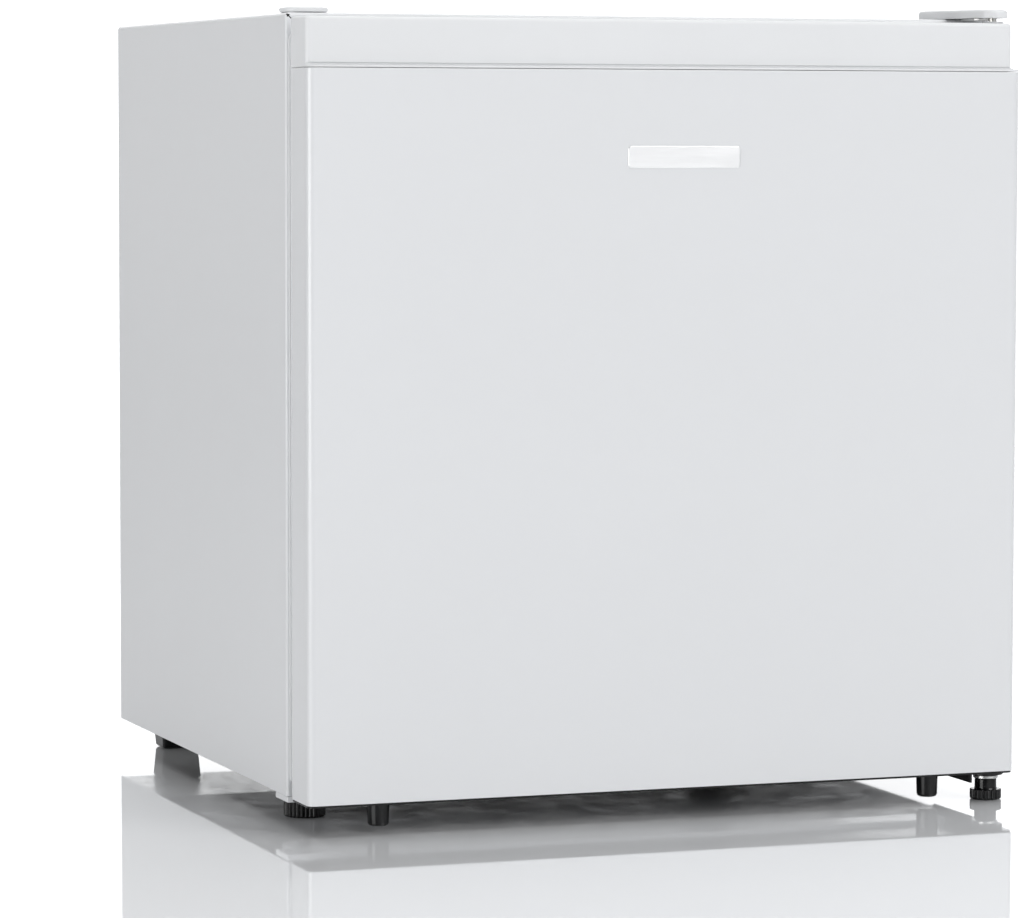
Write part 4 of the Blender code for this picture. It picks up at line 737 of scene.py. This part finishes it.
def foot(node, ribs, depth, base_height, stem):
    """A levelling foot: fluted base, stem and stud, from the node's own box."""
    low, high = span(node)
    centre = ((low.x + high.x) / 2, (low.y + high.y) / 2)
    radius = (high.x - low.x) / 2
    base = fluted(centre, radius, base_height, ribs, depth)
    shape = merged(base, *(turned(part, (*centre, 0.0), 48) for part in stem))
    return even_normals(piece(f"{node}_fine", shape, node, (node,), angle=50))


def feet():
    high = span("foot_left")[1].z
    stud = [(LEVEL_STUD, 10 * MM), (LEVEL_STUD, high - 0.8 * MM), (LEVEL_STUD - 0.8 * MM, high)]
    foot("foot_left", 28, 0.9 * MM, LEVEL_BASE, [stud])
    high = span("foot_right")[1].z
    stem = [
        (HINGE_STEM + 0.6 * MM, 6 * MM),
        (HINGE_STEM + 0.1 * MM, 7 * MM),
        (HINGE_STEM, 8 * MM),
        (HINGE_STEM, HINGE_STEM_TOP - 0.5 * MM),
        (HINGE_STEM - 0.5 * MM, HINGE_STEM_TOP),
    ]
    stud = [(HINGE_STUD, HINGE_STEM_TOP - MM), (HINGE_STUD, high)]
    foot("foot_right", 22, 0.8 * MM, HINGE_FOOT_BASE, [stem, stud])


# Cabinet ---------------------------------------------------------------------------------------------


# Where the mitre slots start and end from the corner, their depth and half width, the rounding of the
# front rim, and how far the enamelled bar reaches back and starts above the tray's foot.
MITRE_START = 1.7 * MM
MITRE_REACH = 5.2 * MM
MITRE_DEPTH = 0.8 * MM
MITRE_HALF = 0.3 * MM
RIM_ROUND = 0.9 * MM
BAR_DEPTH = 6 * MM
BAR_RISE = 3 * MM


def mitre(side):
    """A thin slanting slot where the front flange is mitred at an upper corner."""
    corner = Vector((side * SHELL_HIGH.x, SHELL_HIGH.z))
    along = Vector((-side, -1.0)).normalized()
    across = Vector((along.y, -along.x)) * MITRE_HALF
    start, end = corner + along * MITRE_START, corner + along * MITRE_REACH
    outline = [start - across, start + across, end + across, end - across]
    return loft([[(c.x, y, c.y) for c in outline] for y in (SHELL_LOW.y - MM, SHELL_LOW.y + MITRE_DEPTH)])


def in_mitre_painted_shade(centre):
    """Whether a face centre lies in the depth of one of the slots, whose faces take black paint as painted
    shade.
    """
    slack = 0.02 * MM
    deep = SHELL_LOW.y + slack < centre.y < SHELL_LOW.y + MITRE_DEPTH + slack
    gaps = SHELL_HIGH.x - abs(centre.x), SHELL_HIGH.z - centre.z
    return deep and all(1.2 * MM < gap < 5 * MM for gap in gaps)


def front_rim(bm):
    """Rounds the edges between the cabinet's front flange and its sides and top."""
    near = 0.05 * MM

    def on_rim(vert):
        outside = abs(vert.co.x) > SHELL_HIGH.x - near or vert.co.z > SHELL_HIGH.z - near
        return outside and vert.co.y < SHELL_LOW.y + near

    def is_rim(edge):
        shared = all(map(on_rim, edge.verts)) and len(edge.link_faces) == 2
        return shared and edge.calc_face_angle() > math.radians(60)

    edges = [edge for edge in bm.edges if is_rim(edge)]
    bmesh.ops.bevel(
        bm, geom=edges, offset=RIM_ROUND, segments=4, profile=0.5, affect="EDGES", clamp_overlap=True
    )


def outer_shell():
    """The cabinet sheet with a rounded front rim and mitre slots painted black as painted shade."""
    bm = node_bmesh("outer_shell")
    front_rim(bm)
    bm = cut(bm, mitre(-1), mitre(1))
    bmesh.ops.remove_doubles(bm, verts=bm.verts, dist=WELD)
    obj = piece("outer_shell_fine", bm, "outer_shell", ("outer_shell",), angle=50)
    # The slot faces get black paint: painted shade in the mitre gaps.
    obj.data.materials.append(MATERIALS["black_paint"])
    for face in obj.data.polygons:
        if in_mitre_painted_shade(face.center):
            face.material_index = 1
    return soften(obj, 0.15 * MM, 2, 60)


def bottom_panel():
    """The painted tray under the cabinet, its black a painted shade under the cabinet, with its front bar
    enamelled like the sides.
    """
    obj = piece("bottom_panel_fine", node_bmesh("bottom_panel"), "bottom_panel", ("bottom_panel",))
    # The tray keeps its slot's black paint as painted shade under the cabinet; only the front bar turns
    # white.
    obj.data.materials.append(MATERIALS["white_enamel"])
    for face in obj.data.polygons:
        if face.center.y < SHELL_LOW.y + BAR_DEPTH and face.center.z > SHELL_LOW.z + BAR_RISE:
            face.material_index = 1
    return soften(obj, 0.3 * MM, 2)


def pan_head(place, radius, direction):
    """A small cross-headed screw whose head stands on a face that looks along +/-Y."""
    shape = (1.0, 0.0), (1.0, 0.35), (0.75, 0.62), (0.3, 0.75)
    head = turned([(radius * r, direction * h * radius) for r, h in shape], place, 24, "Y")
    arm, thin, deep = radius * 0.5, radius * 0.11, 0.75 * radius
    x, y, z = place
    depth = sorted((y + direction * deep * 0.55, y + direction * deep * 1.3))
    slots = [box((x - a, x + a), depth, (z - b, z + b)) for a, b in ((arm, thin), (thin, arm))]
    return cut(head, *slots)


def rear_screws():
    """Screws along the edges of the back panel."""
    low, high = span("rear_panel")
    rows = [low.z + 12 * MM, (low.z + high.z) / 2, high.z - 12 * MM]
    heads = [pan_head((x, high.y, z), 3.4 * MM, 1) for x in (low.x + 8 * MM, high.x - 8 * MM) for z in rows]
    return even_normals(piece("rear_screws", merged(*heads), "rear_panel", slot="zinc_steel"))


# Inside ----------------------------------------------------------------------------------------------


def evaporator_channels():
    """The refrigerant channels pressed out of the cold box's floor and sides."""
    low, high = span("evaporator")
    inset, runs = 16 * MM, 7
    pitch = (high.y - low.y - 2 * inset) / (runs - 1)
    shapes = []
    for z in (low.z + 0.2 * MM, high.z - 0.2 * MM):
        path = []
        for run in range(runs):
            y = low.y + inset + run * pitch
            ends = (low.x + inset, high.x - inset) if run % 2 == 0 else (high.x - inset, low.x + inset)
            path += [(ends[0], y, z), (ends[1], y, z)]
            if run < runs - 1:
                way = pitch / 2 if run % 2 == 0 else -pitch / 2
                for a in (math.pi * i / 8 for i in range(1, 8)):
                    path.append((ends[1] + way * math.sin(a), y + pitch / 2 * (1 - math.cos(a)), z))
        shapes.append(tube(path, 1.7 * MM, 10))
    return even_normals(piece("evaporator_channels", merged(*shapes), "evaporator", angle=60))


def condenser():
    """A smooth serpentine tube with thin wires welded across both of its faces."""
    low, high = span("condenser_coil")
    coil = node_bmesh("condenser_coil")
    even_normals(piece("condenser_coil_fine", coil, "condenser_coil", ("condenser_coil",), angle=70))
    wire, count = 0.65 * MM, 26
    wires = []
    for k in range(count):
        x = low.x + 14 * MM + (high.x - low.x - 62 * MM) * k / (count - 1)
        y = high.y + wire * 0.5 if k % 2 else low.y - wire * 0.5
        heights = low.z + 20 * MM, (low.z + high.z) / 2, high.z - 1.5 * MM
        wires.append(tube([(x, y, z) for z in heights], wire, 8))
    return even_normals(piece("condenser_wires", merged(*wires), "condenser_coil", angle=70))


# Dial bars: how many, the first one's angle and the turn between them in degrees, gap and half width.
TICKS = 7
FIRST_TICK = 240
TICK_TURN = 50
TICK_GAP = 2.2 * MM
TICK_HALF = 0.5 * MM


def dial_ticks():
    """Raised bars round the knob that grow with the setting."""
    low, high = span("thermostat_knob")
    face = span("thermostat_housing")[0].y
    centre = Vector(((low.x + high.x) / 2, (low.z + high.z) / 2))
    radius = (high.x - low.x) / 2 + TICK_GAP
    bars = []
    for k in range(TICKS):
        a = math.radians(FIRST_TICK - TICK_TURN * k)
        length = (1.4 + 0.4 * k) * MM
        out, across = Vector((math.cos(a), math.sin(a))), Vector((-math.sin(a), math.cos(a))) * TICK_HALF
        near, far = centre + out * radius, centre + out * (radius + length)
        ends = [near - across, near + across, far + across, far - across]
        bars.append(loft([[(p.x, y, p.y) for p in ends] for y in (face - 0.3 * MM, face + 0.4 * MM)]))
    return even_normals(piece("dial_ticks", merged(*bars), "thermostat_housing", slot="black_plastic"))


# Edge rounding of each node in millimetres; the pipes have none.
REFINED = {
    "front_base_rail": 0.6,
    "lower_hinge_bracket": 0.3,
    "upper_hinge_bracket": 0.3,
    "upper_hinge_pin": 0.2,
    "lower_hinge_pin": 0.2,
    "foot_lock_washer": 0.15,
    "rear_foot_left": 1.4,
    "rear_foot_right": 1.4,
    "door_bottom_cap": 0.25,
    "door_bush_upper": 0.2,
    "door_gasket": 0.7,
    "door_liner": 0.8,
    "inner_liner": 0.8,
    "foot_socket_left": 0.4,
    "compressor_base": 0.3,
    "compressor_housing": 0.3,
    "compressor_mount_plate": 0.4,
    "relay_cover": 1.0,
    "condenser_bracket_left": 0.8,
    "condenser_bracket_right": 0.8,
    "thermostat_housing": 1.2,
    "thermostat_knob": 0.5,
    "freezer_frame": 0.4,
    "freezer_flap": 0.4,
    "evaporator": 0.3,
    "drip_tray": 0.4,
    "shelf_glass": 0.5,
    "shelf_front_trim": 0.5,
    "rack_upper": 0.6,
    "rack_lower": 0.6,
    "rear_panel": 0.3,
    "badge": 0.12,
    "filter_drier": 0.5,
    "suction_pipe": 0.0,
    "discharge_pipe": 0.0,
    "cable_gland": 0.3,
}


def refine_plain_nodes():
    for node, width in REFINED.items():
        if width:
            refined(node, width * MM)
        else:
            even_normals(piece(f"{node}_fine", node_bmesh(node), node, (node,), angle=70))


# Stage -----------------------------------------------------------------------------------------------


FLOOR_HALF = 12.0
FLOOR_DROP = 0.2 * MM  # keeps the table top clear of the feet's own faces


def floor():
    """A pale glossy table top that runs out of sight."""
    bm = bmesh.new()
    bmesh.ops.create_grid(bm, x_segments=1, y_segments=1, size=FLOOR_HALF)
    mesh = bpy.data.meshes.new("floor")
    bm.to_mesh(mesh)
    bm.free()
    obj = bpy.data.objects.new("floor", mesh)
    obj.location.z = -FLOOR_DROP
    bpy.context.scene.collection.objects.link(obj)
    r = Recipe("floor", (0.93, 0.94, 0.955), 0.04, 0.2)
    r.vary_roughness(r.noise(3.0, 3.0), 0.03, 0.05)
    mesh.materials.append(r.material)


def area_light(name, place, target, size, watts):
    light = bpy.data.lights.new(name, "AREA")
    light.shape = "RECTANGLE"
    light.size, light.size_y = size
    light.energy = watts
    obj = bpy.data.objects.new(name, light)
    obj.location = place
    obj.rotation_euler = (Vector(target) - Vector(place)).to_track_quat("-Z", "Y").to_euler()
    bpy.context.scene.collection.objects.link(obj)


def smooth_step(tree, source, start, end, low, high):
    node = tree.nodes.new("ShaderNodeMapRange")
    node.interpolation_type = "SMOOTHSTEP"
    for key, value in (("From Min", start), ("From Max", end), ("To Min", low), ("To Max", high)):
        node.inputs[key].default_value = value
    tree.links.new(source, node.inputs["Value"])
    return node.outputs["Result"]


def product(tree, first, second):
    node = tree.nodes.new("ShaderNodeMath")
    node.operation = "MULTIPLY"
    tree.links.new(first, node.inputs[0])
    tree.links.new(second, node.inputs[1])
    return node.outputs["Value"]


def world():
    """A soft studio: a white sweep behind, darker flags at the front sides and overhead."""
    studio = bpy.data.worlds.new("studio")
    studio.use_nodes = True
    tree = studio.node_tree
    background = tree.nodes["Background"]
    place = tree.nodes.new("ShaderNodeTexCoord")
    parts = tree.nodes.new("ShaderNodeSeparateXYZ")
    tree.links.new(place.outputs["Generated"], parts.inputs["Vector"])
    behind = smooth_step(tree, parts.outputs["Y"], -0.2, 0.75, 0.76, 1.7)
    left = smooth_step(tree, parts.outputs["X"], -0.5, 0.22, 0.12, 1.0)
    right = smooth_step(tree, parts.outputs["X"], 0.45, 0.95, 1.0, 0.5)
    above = smooth_step(tree, parts.outputs["Z"], 0.15, 0.8, 1.0, 0.5)
    strength = product(tree, product(tree, behind, left), product(tree, right, above))
    background.inputs["Color"].default_value = (0.985, 0.99, 1.0, 1.0)
    tree.links.new(strength, background.inputs["Strength"])
    bpy.context.scene.world = studio


def lights():
    """A key light from the right, a large box on the left for the side and one overhead."""
    area_light("key", (1.9, -3.0, 1.9), (0, 0, 0.25), (2.2, 1.6), 50)
    area_light("side_box", (-2.68, -1.12, 0.55), (-0.2, -0.2, 0.27), (2.0, 1.6), 37)
    area_light("top", (0.0, 0.0, 3.0), (0, 0, 0), (3.0, 3.0), 43)
    world()


def camera():
    """The product view, fitted to the cabinet's corners: left of the front, looking slightly down."""
    data = bpy.data.cameras.new("camera")
    data.sensor_width = 36.0
    data.lens = 157.7
    data.clip_end = 60.0
    obj = bpy.data.objects.new("camera", data)
    obj.location = (-1.028, -2.764, 0.422)
    yaw, pitch, roll = math.radians(19.955), math.radians(4.159), math.radians(0.1)
    forward = Vector((math.sin(yaw) * math.cos(pitch), math.cos(yaw) * math.cos(pitch), -math.sin(pitch)))
    turn = forward.to_track_quat("-Z", "Y").to_matrix() @ Matrix.Rotation(roll, 3, "Z")
    obj.rotation_euler = turn.to_euler()
    bpy.context.scene.collection.objects.link(obj)
    bpy.context.scene.camera = obj
    bpy.context.scene.view_settings.view_transform = "Standard"


dress_frame()
refine_plain_nodes()
for make in (door_skin, door_top_trim, upper_hinge_cover, blank_hinge_cap, feet, outer_shell, rear_screws):
    make()
for make in (bottom_panel, evaporator_channels, condenser, dial_ticks):
    make()
floor()
lights()
camera()
